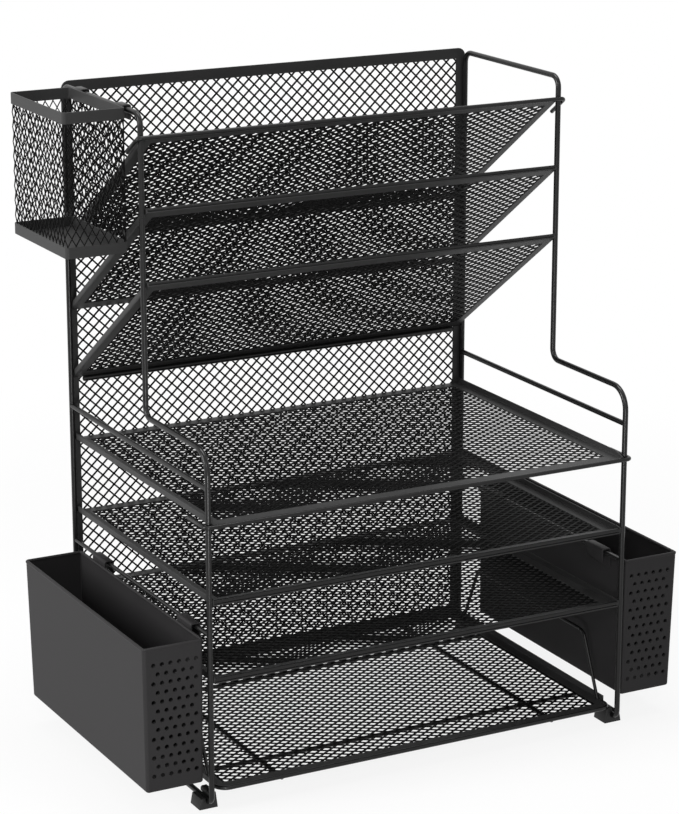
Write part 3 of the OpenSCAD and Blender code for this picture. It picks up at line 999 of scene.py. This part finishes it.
@dataclass
class BackPanel:
    """The framed mesh panel behind the rear wires."""

    band: float = 8.0
    corner: float = 6.0
    edge_round: float = 0.3
    pitch_x: float = 8.8
    pitch_z: float = 8.4
    strand: float = 1.25
    strand_depth: float = 0.7
    body: str = "sorter"

    def rim(self, box: Extent, place: Matrix) -> Shape:
        """The flat rim with rounded corners and softened edges.

        Args:
            box: the rim's box.
            place: stands a drawing up in the panel's plane.

        Returns:
            The rim in its place.
        """
        half, height, band = box.size.x / 2, box.size.z, self.band
        xs = [-half, -half + band, half - band, half]
        shape = ruled_sheet(xs, [0, band, height - band, height], {(1, 1)})
        corners = [v for v in shape.verts if half - abs(v.co.x) < NEAR and len(v.link_faces) == 1]
        rounded(shape, corners, self.corner, segments=5, affect="VERTICES")
        return moved(thickened(shape, SHEET, self.edge_round), place)

    def build(self) -> None:
        """Makes the rim and the mesh."""
        box = Extent.of("back_panel_rim")
        foot = Matrix.Translation((box.mid.x, box.mid.y, box.lo.z))
        upright = foot @ Matrix.Rotation(math.pi / 2, 4, "X")
        rim = Piece("panel_rim", SHEET_COAT, self.body, ("back_panel_rim",), weighted=True)
        rim.make(self.rim(box, upright))
        inset = self.band - TUCK
        width, height = box.size.x - 2 * inset, box.size.z - 2 * inset
        net = ExpandedMesh(
            width, height, self.pitch_x, self.pitch_z, self.strand, self.strand_depth
        )
        place = upright @ Matrix.Translation((0, inset, 0))
        mesh = Piece("panel_mesh", MESH_COAT, self.body, ("back_panel_mesh",), smooth_angle=30)
        mesh.make(moved(net.shape(), place))


@dataclass
class FrontEdge:
    """How a front wire sits on its sheet, and where the sheet begins under it."""

    wire: BentWire
    wire_z: float = 0.0
    start: float = 0.8 * EDGE_WIRE / 2
    tapered: bool = False
    hook_bend: ClassVar[float] = 3.5

    @classmethod
    def of(cls, node: str, run: float) -> "FrontEdge":
        """Hooks the wire round the frames where a run is given, or lays it on the sheet.

        Args:
            node: the wire's CAD node.
            run: how far back the hooked ends reach, or 0.

        Returns:
            The front edge.
        """
        half = Extent.of(node).size.x / 2
        if not run:
            return cls(BentWire.lying(half), (SHEET + EDGE_WIRE) / 2, 0.0)
        reach = run - BentWire.chamfer
        wire = BentWire.hooked(half - EDGE_WIRE / 2, reach, cls.hook_bend, WireEnd.CUT)
        return cls(wire, tapered=True)


@dataclass
class FramedSheet:
    """A mesh sheet in a rim with upturned sides, with a round wire along its front."""

    label: str
    nodes: tuple[str, str, str]
    place: Matrix
    front: FrontEdge
    half_width: float
    length: float
    front_band: float
    side_band: float
    rear_band: float
    lip: float
    step: float = 0.0
    narrow: float = 0.0
    front_corner: float = 0.0
    rear_lip: bool = False
    trim_y: float | None = None
    edge_round: float = 0.28
    fold_bend: float = 0.9
    taper: float = 0.4
    pitch_x: float = 10.25
    pitch_y: float = 6.35
    strand: float = 1.5
    strand_depth: float = 0.62
    body: str = "sorter"

    @property
    def window(self) -> tuple[float, float]:
        """Where the mesh window begins and ends along the sheet."""
        return EDGE_WIRE / 2 + self.front_band, self.length - self.rear_band

    def _at_start(self, vert: bmesh.types.BMVert) -> bool:
        """Whether a vertex lies on the sheet's front edge."""
        return vert.co.y < self.front.start + NEAR

    def rim(self) -> Shape:
        """Cuts the sheet out and folds its lips up.

        Returns:
            The rim in its place.
        """
        fold, inner = self.half_width - SHEET / 2, self.half_width - self.side_band
        front = self.half_width - self.narrow if self.narrow else fold
        far = self.length - (SHEET / 2 if self.rear_lip else 0)
        near, back = self.window
        xs = sorted({-fold, -front, -inner, inner, front, fold})
        ys = sorted({self.front.start, max(self.front.start, self.step), near, back, far})

        def is_open(column: int, row: int) -> bool:
            """Whether that cell lies in the window or beside the narrow front."""
            x, y = abs(xs[column] + xs[column + 1]) / 2, (ys[row] + ys[row + 1]) / 2
            return (x < inner and near < y < back) or (x > front and y < self.step)

        cells = [(i, j) for i in range(len(xs) - 1) for j in range(len(ys) - 1)]
        shape = ruled_sheet(xs, ys, {cell for cell in cells if is_open(*cell)})
        bmesh.ops.recalc_face_normals(shape, faces=shape.faces)
        if self.front_corner:
            corners = [v for v in shape.verts if abs(v.co.x) > front - NEAR and self._at_start(v)]
            rounded(shape, corners, self.front_corner, segments=6, affect="VERTICES")
        self._fold(shape, fold, far)
        return self._trimmed(moved(thickened(shape, SHEET, self.edge_round), self.place))

    def _fold(self, shape: Shape, fold: float, far: float) -> None:
        """Folds the lips up.

        Args:
            shape: the flat sheet.
            fold: where the side folds are, across.
            far: where the rear fold is, along.
        """

        def at_side(edge: bmesh.types.BMEdge) -> bool:
            """Whether an edge lies along a side."""
            return all(abs(abs(v.co.x) - fold) < NEAR for v in edge.verts)

        def at_rear(edge: bmesh.types.BMEdge) -> bool:
            """Whether an edge lies along the rear and carries a lip there."""
            return self.rear_lip and all(abs(v.co.y - far) < NEAR for v in edge.verts)

        rims = [e for e in shape.edges if len(e.link_faces) == 1]
        folds = [e for e in rims if at_side(e) or at_rear(e)]
        tops = pulled(shape, folds, Vector((0, 0, self.lip + SHEET / 2)))
        if self.front.tapered:
            for vert in filter(self._at_start, ends_of(tops)):
                vert.co.z *= self.taper
        bends = [e for e in folds if e.is_valid and len(e.link_faces) == 2]
        rounded(shape, bends, self.fold_bend, segments=3)

    def _trimmed(self, shape: Shape) -> Shape:
        """Cuts the sheet flush with the upright plane at trim_y, where it has one.

        Args:
            shape: the sheet in its place.

        Returns:
            The same shape.
        """
        if self.trim_y is None:
            return shape
        edges = [e for e in sliced(shape, (0, self.trim_y, 0), (0, 1, 0)) if e.is_boundary]
        if edges:
            bmesh.ops.holes_fill(shape, edges=edges, sides=0)
        return shape

    def net(self) -> Shape:
        """Fills the window.

        Returns:
            The mesh, its edges tucked into the rim.
        """
        near, back = self.window[0] - TUCK, self.window[1] + TUCK
        width = 2 * (self.half_width - self.side_band + TUCK)
        mesh = ExpandedMesh(
            width, back - near, self.pitch_x, self.pitch_y, self.strand, self.strand_depth
        )
        return moved(mesh.shape(), self.place @ Matrix.Translation((0, near, 0)))

    def build(self) -> None:
        """Makes the wire, the rim and the mesh."""
        wire, rim, mesh = self.nodes
        lifted = self.place @ Matrix.Translation((0, 0, self.front.wire_z))
        front = Piece(f"{self.label}_front_wire", WIRE_COAT, self.body, (wire,))
        front.make(moved(self.front.wire.shape(), lifted))
        sheet = Piece(f"{self.label}_sheet", SHEET_COAT, self.body, (rim,), weighted=True)
        sheet.make(self.rim())
        net = Piece(f"{self.label}_net", MESH_COAT, self.body, (mesh,), smooth_angle=30)
        net.make(self.net())


def framed_nodes(stem: str) -> tuple[str, str, str]:
    """The CAD nodes of a framed sheet: its wire, its rim and its mesh."""
    return f"{stem}_wire", f"{stem}_rim", f"{stem}_mesh"


@dataclass
class LetterTray:
    """One of the three fixed letter trays."""

    index: int
    hook_run: float = 27.0

    def build(self) -> None:
        """Makes the tray from the boxes of its CAD nodes."""
        nodes = framed_nodes(f"tray_{self.index}")
        rim = Extent.of(nodes[1])
        hooked = self.index == 1
        origin_y = rim.lo.y - (EDGE_WIRE / 2 if hooked else 0)
        FramedSheet(
            label=f"tray_{self.index}",
            nodes=nodes,
            place=flat_at(origin_y, rim.lo.z + SHEET / 2),
            front=FrontEdge.of(nodes[0], self.hook_run if hooked else 0),
            half_width=rim.size.x / 2,
            length=rim.hi.y - origin_y,
            front_band=11.0,
            side_band=9.0,
            rear_band=9.0,
            lip=rim.size.z - SHEET,
        ).build()


@dataclass
class FilePocket:
    """One of the three slanted file pockets."""

    index: int
    drop: float = 97.0
    pitch: float = 51.0
    hook_run: float = 21.5
    flange: float = 3.0
    past_panel: float = 8.0

    def build(self) -> None:
        """Makes the pocket in its slope, trimmed flush with the back panel."""
        nodes = framed_nodes(f"pocket_{self.index}")
        rim, top = Extent.of(nodes[1]), Extent.of("pocket_1_wire")
        y = top.lo.y + EDGE_WIRE / 2
        z = top.hi.z - EDGE_WIRE / 2 - (self.index - 1) * self.pitch
        run = rim.hi.y - y
        FramedSheet(
            label=f"pocket_{self.index}",
            nodes=nodes,
            place=flat_at(y, z, math.atan2(self.drop, run)),
            front=FrontEdge.of(nodes[0], self.hook_run if self.index == 1 else 0),
            half_width=rim.size.x / 2,
            length=math.hypot(run, self.drop) + self.past_panel,
            front_band=7.0,
            side_band=7.0,
            rear_band=10.0 + self.past_panel,
            lip=self.flange,
            trim_y=rim.hi.y,
            pitch_x=9.05,
            pitch_y=6.6,
            strand=1.9,
        ).build()


@dataclass
class PullTray:
    """The bottom tray that slides out, with its runners and side guards."""

    bend: float = 9.0
    wire_run: float = 12.0
    guard: float = 2.5
    guard_bend: float = 8.0
    lean: float = 21.0
    body: str = "drawer"

    def guards(self, side: Side) -> Shape:
        """Bends a trapezoid of wire whose feet stand on the sheet.

        Args:
            side: which side of the tray it guards.

        Returns:
            The guard.
        """
        box = Extent.of(f"drawer_guard_{side.word}")
        r = self.guard / 2
        y0, y1, z0, z1 = box.lo.y + r, box.hi.y - r, box.lo.z, box.hi.z - r
        corners = [(y0, z0), (y0 + self.lean, z1), (y1 - self.lean, z1), (y1, z0)]
        bends = [0, self.guard_bend, self.guard_bend, 0]
        wire = BentWire(corners, bends, self.guard, end=WireEnd.BURIED)
        return moved(wire.shape(), side_plane(box.mid.x))

    def runners(self) -> Shape:
        """Runs two wires under the sheet.

        Returns:
            Both of them.
        """
        box = Extent.of("drawer_runners")
        r = box.size.z / 2
        shapes = []
        for x in (box.lo.x + r, box.hi.x - r):
            wire = BentWire.straight(box.lo.y + 1, box.hi.y - 1, 2 * r)
            place = Matrix.Translation((0, 0, box.mid.z)) @ side_plane(x)
            shapes.append(moved(wire.shape(), place))
        return joined(shapes)

    def build(self) -> None:
        """Makes the tray, the runners and the guards."""
        wire, rim = Extent.of("drawer_wire"), Extent.of("drawer_rim")
        origin_y = wire.lo.y + EDGE_WIRE / 2
        end_x = wire.size.x / 2 - EDGE_WIRE / 2
        FramedSheet(
            label="pull_tray",
            nodes=framed_nodes("drawer"),
            place=flat_at(origin_y, wire.mid.z),
            front=FrontEdge(BentWire.hooked(end_x, self.wire_run, self.bend, WireEnd.BURIED)),
            half_width=rim.size.x / 2,
            length=rim.hi.y - origin_y,
            front_band=8.0,
            side_band=9.0,
            rear_band=9.0,
            lip=rim.size.z - SHEET,
            step=self.wire_run,
            narrow=EDGE_WIRE,
            front_corner=5.8,
            rear_lip=True,
            body=self.body,
        ).build()
        runners = Piece("pull_tray_runners", WIRE_COAT, self.body, ("drawer_runners",))
        runners.make(self.runners())
        for side in Side:
            node = f"drawer_guard_{side.word}"
            guard = Piece(f"pull_tray_guard_{side.word}", WIRE_COAT, self.body, (node,))
            guard.make(self.guards(side))


@dataclass
class HookStrip:
    """A sheet strip folded over a rail, drawn across it in XZ and run along Y."""

    outer_x: float
    inner_x: float
    roof_z: float
    outer_foot: float
    inner_foot: float
    bend: float = 1.4
    edge_round: float = 0.3

    def shape(self, y: float, width: float) -> Shape:
        """Folds one strip, its middle surface on the given lines.

        Args:
            y: where it begins.
            width: how wide it is.

        Returns:
            The strip.
        """
        shape = bmesh.new()
        start = [shape.verts.new((self.outer_x, y + k * width, self.outer_foot)) for k in (0, 1)]
        edge = [shape.edges.new(start)]
        corner_one = edge = pulled(shape, edge, Vector((0, 0, self.roof_z - self.outer_foot)))
        corner_two = edge = pulled(shape, edge, Vector((self.inner_x - self.outer_x, 0, 0)))
        pulled(shape, edge, Vector((0, 0, self.inner_foot - self.roof_z)))
        rounded(shape, corner_one + corner_two, self.bend, segments=4)
        return thickened(shape, HOOK_SHEET, self.edge_round, over_angle=50)

    def pair(self, low: float, high: float, width: float) -> Shape:
        """Two strips, one that begins at y = low and one that ends at y = high."""
        return joined(self.shape(y, width) for y in (low, high - width))


@dataclass
class PenBox:
    """A drafted sheet-metal box that hangs on a side rail, drawn on the right side."""

    side: Side
    draft: float = 2.0
    corner: float = 2.5
    wall: float = 1.5
    bead: float = 2.4
    floor_bend: float = 1.6
    hole: float = 3.2
    hole_sides: int = 14
    pitch_x: float = 6.3
    pitch_z: float = 6.7
    rows: int = 13
    columns: int = 6
    rail_z: float = 127.5
    hook_width: float = 22.0
    hook_inset: float = 20.0
    hook_drop: float = 9.5
    leaf_drop: float = 7.0

    @property
    def body(self) -> str:
        """The CAD body that the box is."""
        return f"pen_box_{self.side.word}_body"

    @property
    def box(self) -> Extent:
        """The box of the CAD node."""
        return Extent.of(f"pen_box_{self.side.word}")

    @property
    def rim(self) -> Extent:
        """The box of the bead round the top, at whose middle the walls end."""
        return Extent.of(f"pen_box_bead_{self.side.word}")

    def _plan(self, inset: float = 0.0) -> tuple[float, float, float, float]:
        """Finds the walls' outside under the bead.

        Args:
            inset: how far inside it to stay.

        Returns:
            Inner x, outer x, front y and rear y at the top.
        """
        rim, grow = self.rim, (self.bead - self.wall) / 2 + inset
        near, reach = sorted((abs(rim.lo.x), abs(rim.hi.x)))
        return near + grow, reach - grow, rim.lo.y + grow, rim.hi.y - grow

    def _open_box(self) -> Shape:
        """Draws the drafted walls with round corners and a folded floor.

        Returns:
            The box without a lid, without thickness.
        """
        x0, x1, y0, y1 = self._plan()
        low, top = self.box.lo.z, self.rim.mid.z
        shape = bmesh.new()
        bmesh.ops.create_cube(shape, size=1.0)
        for vert in shape.verts:
            right, rear, high = (place > 0 for place in vert.co)
            lean = 0.0 if high else self.draft
            x, y = x1 - lean if right else x0, y1 - lean if rear else y0 + lean
            vert.co = (x, y, top if high else low)
        lid = [f for f in shape.faces if f.normal.z > 0.9]
        bmesh.ops.delete(shape, geom=lid, context="FACES_ONLY")
        uprights = [e for e in shape.edges if e.verts[0].co.z != e.verts[1].co.z]
        rounded(shape, uprights, self.corner, segments=6)
        floor = [e for e in shape.edges if all(v.co.z < low + NEAR for v in e.verts)]
        rounded(shape, floor, self.floor_bend, segments=4)
        return shape

    def _perforate(self, shape: Shape) -> None:
        """Cuts the staggered rows of round holes out of the flat front.

        Args:
            shape: the box without thickness.
        """
        face = min(shape.faces, key=lambda f: (round(f.normal.y, 2), -f.calc_area()))
        outline = list(face.edges)
        foot, *_, head = sorted((v.co.copy() for v in face.verts), key=lambda co: co.z)
        xs = [v.co.x for v in face.verts]
        mid_x = (min(xs) + max(xs) - self.draft) / 2
        mid_z = (foot.z + head.z - self.floor_bend) / 2
        slant = (head.y - foot.y) / (head.z - foot.z)
        upright = Matrix.Rotation(math.pi / 2, 4, "X")
        rings: Edges = []
        for row in range(self.rows):
            count = self.columns - row % 2
            z = mid_z + (row - (self.rows - 1) / 2) * self.pitch_z
            for i in range(count):
                x = mid_x + (i - (count - 1) / 2) * self.pitch_x
                made = bmesh.ops.create_circle(
                    shape,
                    cap_ends=False,
                    segments=self.hole_sides,
                    radius=self.hole / 2,
                    matrix=Matrix.Translation((x, 0, z)) @ upright,
                )["verts"]
                rings += {e for v in made for e in v.link_edges}
                for vert in made:
                    vert.co.y = foot.y + (vert.co.z - foot.z) * slant
        bmesh.ops.delete(shape, geom=[face], context="FACES_ONLY")
        bmesh.ops.triangle_fill(shape, use_beauty=True, edges=outline + rings, normal=(0, -1, 0))

    def shell(self) -> Shape:
        """Thickens the perforated box to the inside.

        Returns:
            The shell.
        """
        shape = self._open_box()
        self._perforate(shape)
        bmesh.ops.recalc_face_normals(shape, faces=shape.faces)
        bmesh.ops.solidify(shape, geom=shape.faces, thickness=self.wall)
        bmesh.ops.recalc_face_normals(shape, faces=shape.faces)
        return shape

    def rolled_edge(self) -> Shape:
        """Runs the bead along the middle of the walls.

        Returns:
            The bead.
        """
        x0, x1, y0, y1 = self._plan(self.wall / 2)
        bends = [self.corner - self.wall / 2] * 4
        bead = BentWire([(x0, y0), (x1, y0), (x1, y1), (x0, y1)], bends, self.bead, closed=True)
        return moved(bead.shape(), Matrix.Translation((0, 0, self.rim.mid.z)))

    def hooks(self) -> Shape:
        """Folds the two strips that the box hangs by.

        Returns:
            Both strips.
        """
        x0, _, y0, y1 = self._plan()
        box, half = self.box, HOOK_SHEET / 2
        leaf = min(abs(box.lo.x), abs(box.hi.x))
        feet = self.rim.mid.z - self.hook_drop, self.rail_z - self.leaf_drop
        strip = HookStrip(x0 - half, leaf + half, box.hi.z - half, *feet)
        return strip.pair(y0 + self.hook_inset, y1 - self.hook_inset, self.hook_width)

    def build(self) -> None:
        """Makes the box, its bead and its hooks, mirrored for the left side."""
        word = self.side.word
        parts = (
            ("shell", self.shell(), (f"pen_box_{word}", f"pen_box_front_{word}")),
            ("rolled_edge", self.rolled_edge(), (f"pen_box_bead_{word}",)),
            ("hooks", self.hooks(), ()),
        )
        for part, shape, nodes in parts:
            moved(shape, Matrix.Scale(self.side.value, 4, (1, 0, 0)))
            if self.side is Side.LEFT:
                bmesh.ops.reverse_faces(shape, faces=shape.faces)
            name, weighted = f"pen_box_{part}_{word}", part == "shell"
            Piece(name, BOX_COAT, self.body, nodes, weighted=weighted).make(shape)


@dataclass
class PenCup:
    """The mesh cup that hangs on the left top rail."""

    corner: float = 2.5
    band_round: float = 0.35
    floor_round: float = 0.2
    pitch_x: float = 5.95
    pitch_z: float = 10.4
    strand: float = 0.72
    strand_depth: float = 0.6
    ridge: float = 0.12
    hook_width: float = 12.0
    leaf_over: float = 1.0
    body: str = "pen_cup"

    def _plan(self, box: Extent, z: float) -> Shape:
        """Draws the cup's plan, half a sheet inside its box.

        Args:
            box: the box that the sheet fills.
            z: the plan's height.

        Returns:
            One flat face with round corners.
        """
        shape = bmesh.new()
        bmesh.ops.create_grid(shape, x_segments=1, y_segments=1, size=0.5)
        spread = Matrix.Diagonal((box.size.x - SHEET, box.size.y - SHEET, 1, 1))
        moved(shape, Matrix.Translation((box.mid.x, box.mid.y, z)) @ spread)
        rounded(shape, list(shape.verts), self.corner - SHEET / 2, segments=6, affect="VERTICES")
        return shape

    def band(self, box: Extent) -> Shape:
        """Stands a band up along the plan.

        Args:
            box: the band's box.

        Returns:
            The band, with softened edges.
        """
        shape = self._plan(box, box.lo.z)
        face = list(shape.faces)
        pulled(shape, list(shape.edges), Vector((0, 0, box.size.z)))
        bmesh.ops.delete(shape, geom=face, context="FACES_ONLY")
        return thickened(shape, SHEET, self.band_round, over_angle=50)

    def floor(self, box: Extent) -> Shape:
        """The sheet floor."""
        return thickened(self._plan(box, box.lo.z + SHEET / 2), SHEET, self.floor_round)

    def _wrapped(self, net: Shape, box: Extent, low: float) -> Shape:
        """Bends a flat net round the cup's plan.

        Args:
            net: the net, its x running from 0 along the walls.
            box: the box of the cup's rim.
            low: height of the net's lower edge.

        Returns:
            The same shape.
        """
        r = self.corner - SHEET / 2
        flat_x, flat_y = box.size.x - 2 * self.corner, box.size.y - 2 * self.corner
        legs = ((flat_y, (0, 1)), (flat_x, (-1, 0)), (flat_y, (0, -1)), (flat_x, (1, 0)))
        for vert in net.verts:
            along, angle = vert.co.x, 0.0
            centre = Vector((box.mid.x + flat_x / 2, box.mid.y - flat_y / 2))
            for length, heading in legs:
                straight = min(max(along, 0.0), length)
                curved = min(max(along - straight, 0.0), r * math.pi / 2)
                centre += straight * Vector(heading)
                angle += curved / r
                along -= straight + curved
            x, y = centre + (r + vert.co.z) * Vector((math.cos(angle), math.sin(angle)))
            vert.co = (x, y, low + vert.co.y)
        return net

    def net(self, box: Extent, low: float, high: float) -> Shape:
        """Runs the mesh round the four walls.

        Args:
            box: the box of the cup's rim.
            low: height of the net's lower edge.
            high: height of its upper edge.

        Returns:
            The net.
        """
        flats = 2 * (box.size.x + box.size.y - 4 * self.corner)
        around = flats + 2 * math.pi * (self.corner - SHEET / 2)
        pitch = around / round(around / self.pitch_x)
        strand = self.strand, self.strand_depth, self.ridge
        flat = ExpandedMesh(around, high - low, pitch, self.pitch_z, *strand).shape()
        net = self._wrapped(moved(flat, Matrix.Translation((around / 2, 0, 0))), box, low)
        bmesh.ops.remove_doubles(net, verts=net.verts, dist=NEAR)
        return net

    def build(self) -> None:
        """Makes the rim, base, walls and hooks."""
        rim, base, box = Extent.of("cup_rim"), Extent.of("cup_base"), Extent.of("cup_hooks")
        top = Piece("cup_top_band", SHEET_COAT, self.body, ("cup_rim",), weighted=True)
        top.make(self.band(rim))
        bottom = Piece("cup_bottom", SHEET_COAT, self.body, ("cup_base",), weighted=True)
        bottom.make(joined([self.band(base), self.floor(base)]))
        nodes = tuple(f"cup_mesh_{part}" for part in ("front", "rear", "inner", "outer"))
        walls = Piece("cup_walls", MESH_COAT, self.body, nodes, smooth_angle=30)
        walls.make(self.net(rim, base.hi.z - TUCK, rim.lo.z + TUCK))
        half, feet = HOOK_SHEET / 2, (box.lo.z, box.lo.z - self.leaf_over)
        strip = HookStrip(box.lo.x + half, box.hi.x - half, box.hi.z - half, *feet)
        hooks = Piece("cup_hook_strips", SHEET_COAT, self.body, ("cup_hooks",))
        hooks.make(strip.pair(box.lo.y, box.hi.y, self.hook_width))


# ---------------------------------------------------------------- studio


@dataclass(frozen=True)
class SoftBox:
    """A large soft lamp that looks at the object."""

    name: str
    at: tuple[float, float, float]
    size: tuple[float, float]
    watts: float

    def build(self, target: Vector) -> None:
        """Hangs the lamp.

        Args:
            target: the point it looks at.
        """
        lamp = bpy.data.lights.new(self.name, "AREA")
        lamp.shape = "RECTANGLE"
        lamp.size, lamp.size_y = self.size
        lamp.energy = self.watts
        obj = shown(self.name, lamp)
        obj.location = self.at
        obj.rotation_euler = (target - Vector(self.at)).to_track_quat("-Z", "Y").to_euler()


@dataclass
class Studio:
    """White floor, white surroundings, soft lamps and the camera."""

    camera_at: tuple[float, float, float] = (-0.92367, -1.72183, 0.79577)
    camera_turn: tuple[float, float, float] = (74.03, 0.0, -28.07)
    lens: float = 124.6
    target: tuple[float, float, float] = (0.0, 0.0, 0.22)
    ambient: float = 0.22
    floor_half: float = 6.0
    floor_grey: float = 0.9
    floor_bounce: float = 0.3
    floor_roughness: float = 0.9
    floor_glow: float = 0.88
    white_from: float = 0.45
    white_span: float = 0.5
    boxes: tuple[SoftBox, ...] = (
        SoftBox("key", (-1.9, 0.1, 0.95), (0.4, 1.0), 28.0),
        SoftBox("front", (-0.75, -1.5, 1.15), (0.55, 0.45), 7.5),
        SoftBox("low", (-0.42, -0.78, 0.06), (0.16, 0.1), 2.1),
        SoftBox("top", (0.1, 0.1, 1.9), (1.2, 0.6), 20.0),
    )

    def paper(self) -> bpy.types.Material:
        """Mixes a paper white with a glow that takes over further out.

        Returns:
            The floor's material.
        """
        shader = Shader(bpy.data.materials.new("floor_white"))
        seen = shader.seen()
        paper = shader.surface(
            "ShaderNodeBsdfPrincipled",
            Base_Color=shader.tint((self.floor_bounce,) * 3, (self.floor_grey,) * 3, seen),
            Roughness=self.floor_roughness,
            Specular_IOR_Level=0.0,
        )
        glow = shader.surface("ShaderNodeEmission", Color=(1, 1, 1, 1), Strength=1.0)
        apart = shader.node("ShaderNodeVectorMath", {"operation": "LENGTH"}, {0: shader.place()})
        far = shader.node(
            "ShaderNodeMapRange",
            {"interpolation_type": "SMOOTHSTEP"},
            {
                "Value": shader.value(apart, "Value"),
                "From Min": self.white_from,
                "From Max": self.white_from + self.white_span,
                "To Min": self.floor_glow,
            },
        )
        mix = {0: seen * shader.value(far), 1: paper, 2: glow}
        mixed = shader.value(shader.node("ShaderNodeMixShader", None, mix))
        return shader.ended("ShaderNodeOutputMaterial", mixed)

    def floor(self) -> None:
        """Lays a wide floor that takes the shadow and shows plain white further out."""
        shape = bmesh.new()
        bmesh.ops.create_grid(shape, x_segments=1, y_segments=1, size=self.floor_half)
        mesh = as_mesh("floor", shape)
        mesh.materials.append(self.paper())
        obj = shown("floor", mesh)
        obj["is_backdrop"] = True

    def world(self) -> None:
        """White for the camera and reflections, softer for the light on the object."""
        world = bpy.context.scene.world = bpy.data.worlds.new("surroundings")
        shader = Shader(world)
        limits = {"Value": shader.seen(), "To Min": self.ambient, "To Max": 1.0}
        strength = shader.value(shader.node("ShaderNodeMapRange", None, limits))
        sky = shader.surface("ShaderNodeBackground", Color=(1, 1, 1, 1), Strength=strength)
        shader.ended("ShaderNodeOutputWorld", sky)

    def camera(self) -> None:
        """The camera at the photograph's place and angle."""
        data = bpy.data.cameras.new("camera")
        data.lens = self.lens
        data.sensor_width = 36.0
        data.sensor_fit = "AUTO"
        data.clip_end = 50.0
        obj = shown("camera", data)
        obj.location = self.camera_at
        obj.rotation_euler = tuple(math.radians(a) for a in self.camera_turn)
        bpy.context.scene.camera = obj

    def build(self) -> None:
        """Sets the whole studio up."""
        self.floor()
        self.world()
        self.camera()
        for box in self.boxes:
            box.build(Vector(self.target))
        bpy.context.scene.view_settings.view_transform = "Standard"


def corners(box: Sequence[Vector]) -> list[list[float]]:
    """A box's two corners as plain lists."""
    return [list(corner) for corner in box]


def main() -> None:
    """Builds every sub-assembly round the frame, and the studio."""
    logging.basicConfig(level=logging.INFO, format="%(name)s: %(message)s")
    cad_box = corners(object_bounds())
    parts: list[Any] = [SideFrame(side) for side in Side]
    parts += [CrossWires(), BackPanel(), PullTray(), PenCup()]
    parts += [Foot(f"foot_{end}_{side.word}") for end in ("front", "rear") for side in Side]
    parts += [LetterTray(i) for i in (1, 2, 3)]
    parts += [FilePocket(i) for i in (1, 2, 3)]
    parts += [PenBox(side) for side in Side]
    for part in parts:
        part.build()
    Studio().build()
    {"cad": cad_box, "visual": corners(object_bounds())}


if __name__ == "__main__":
    main()
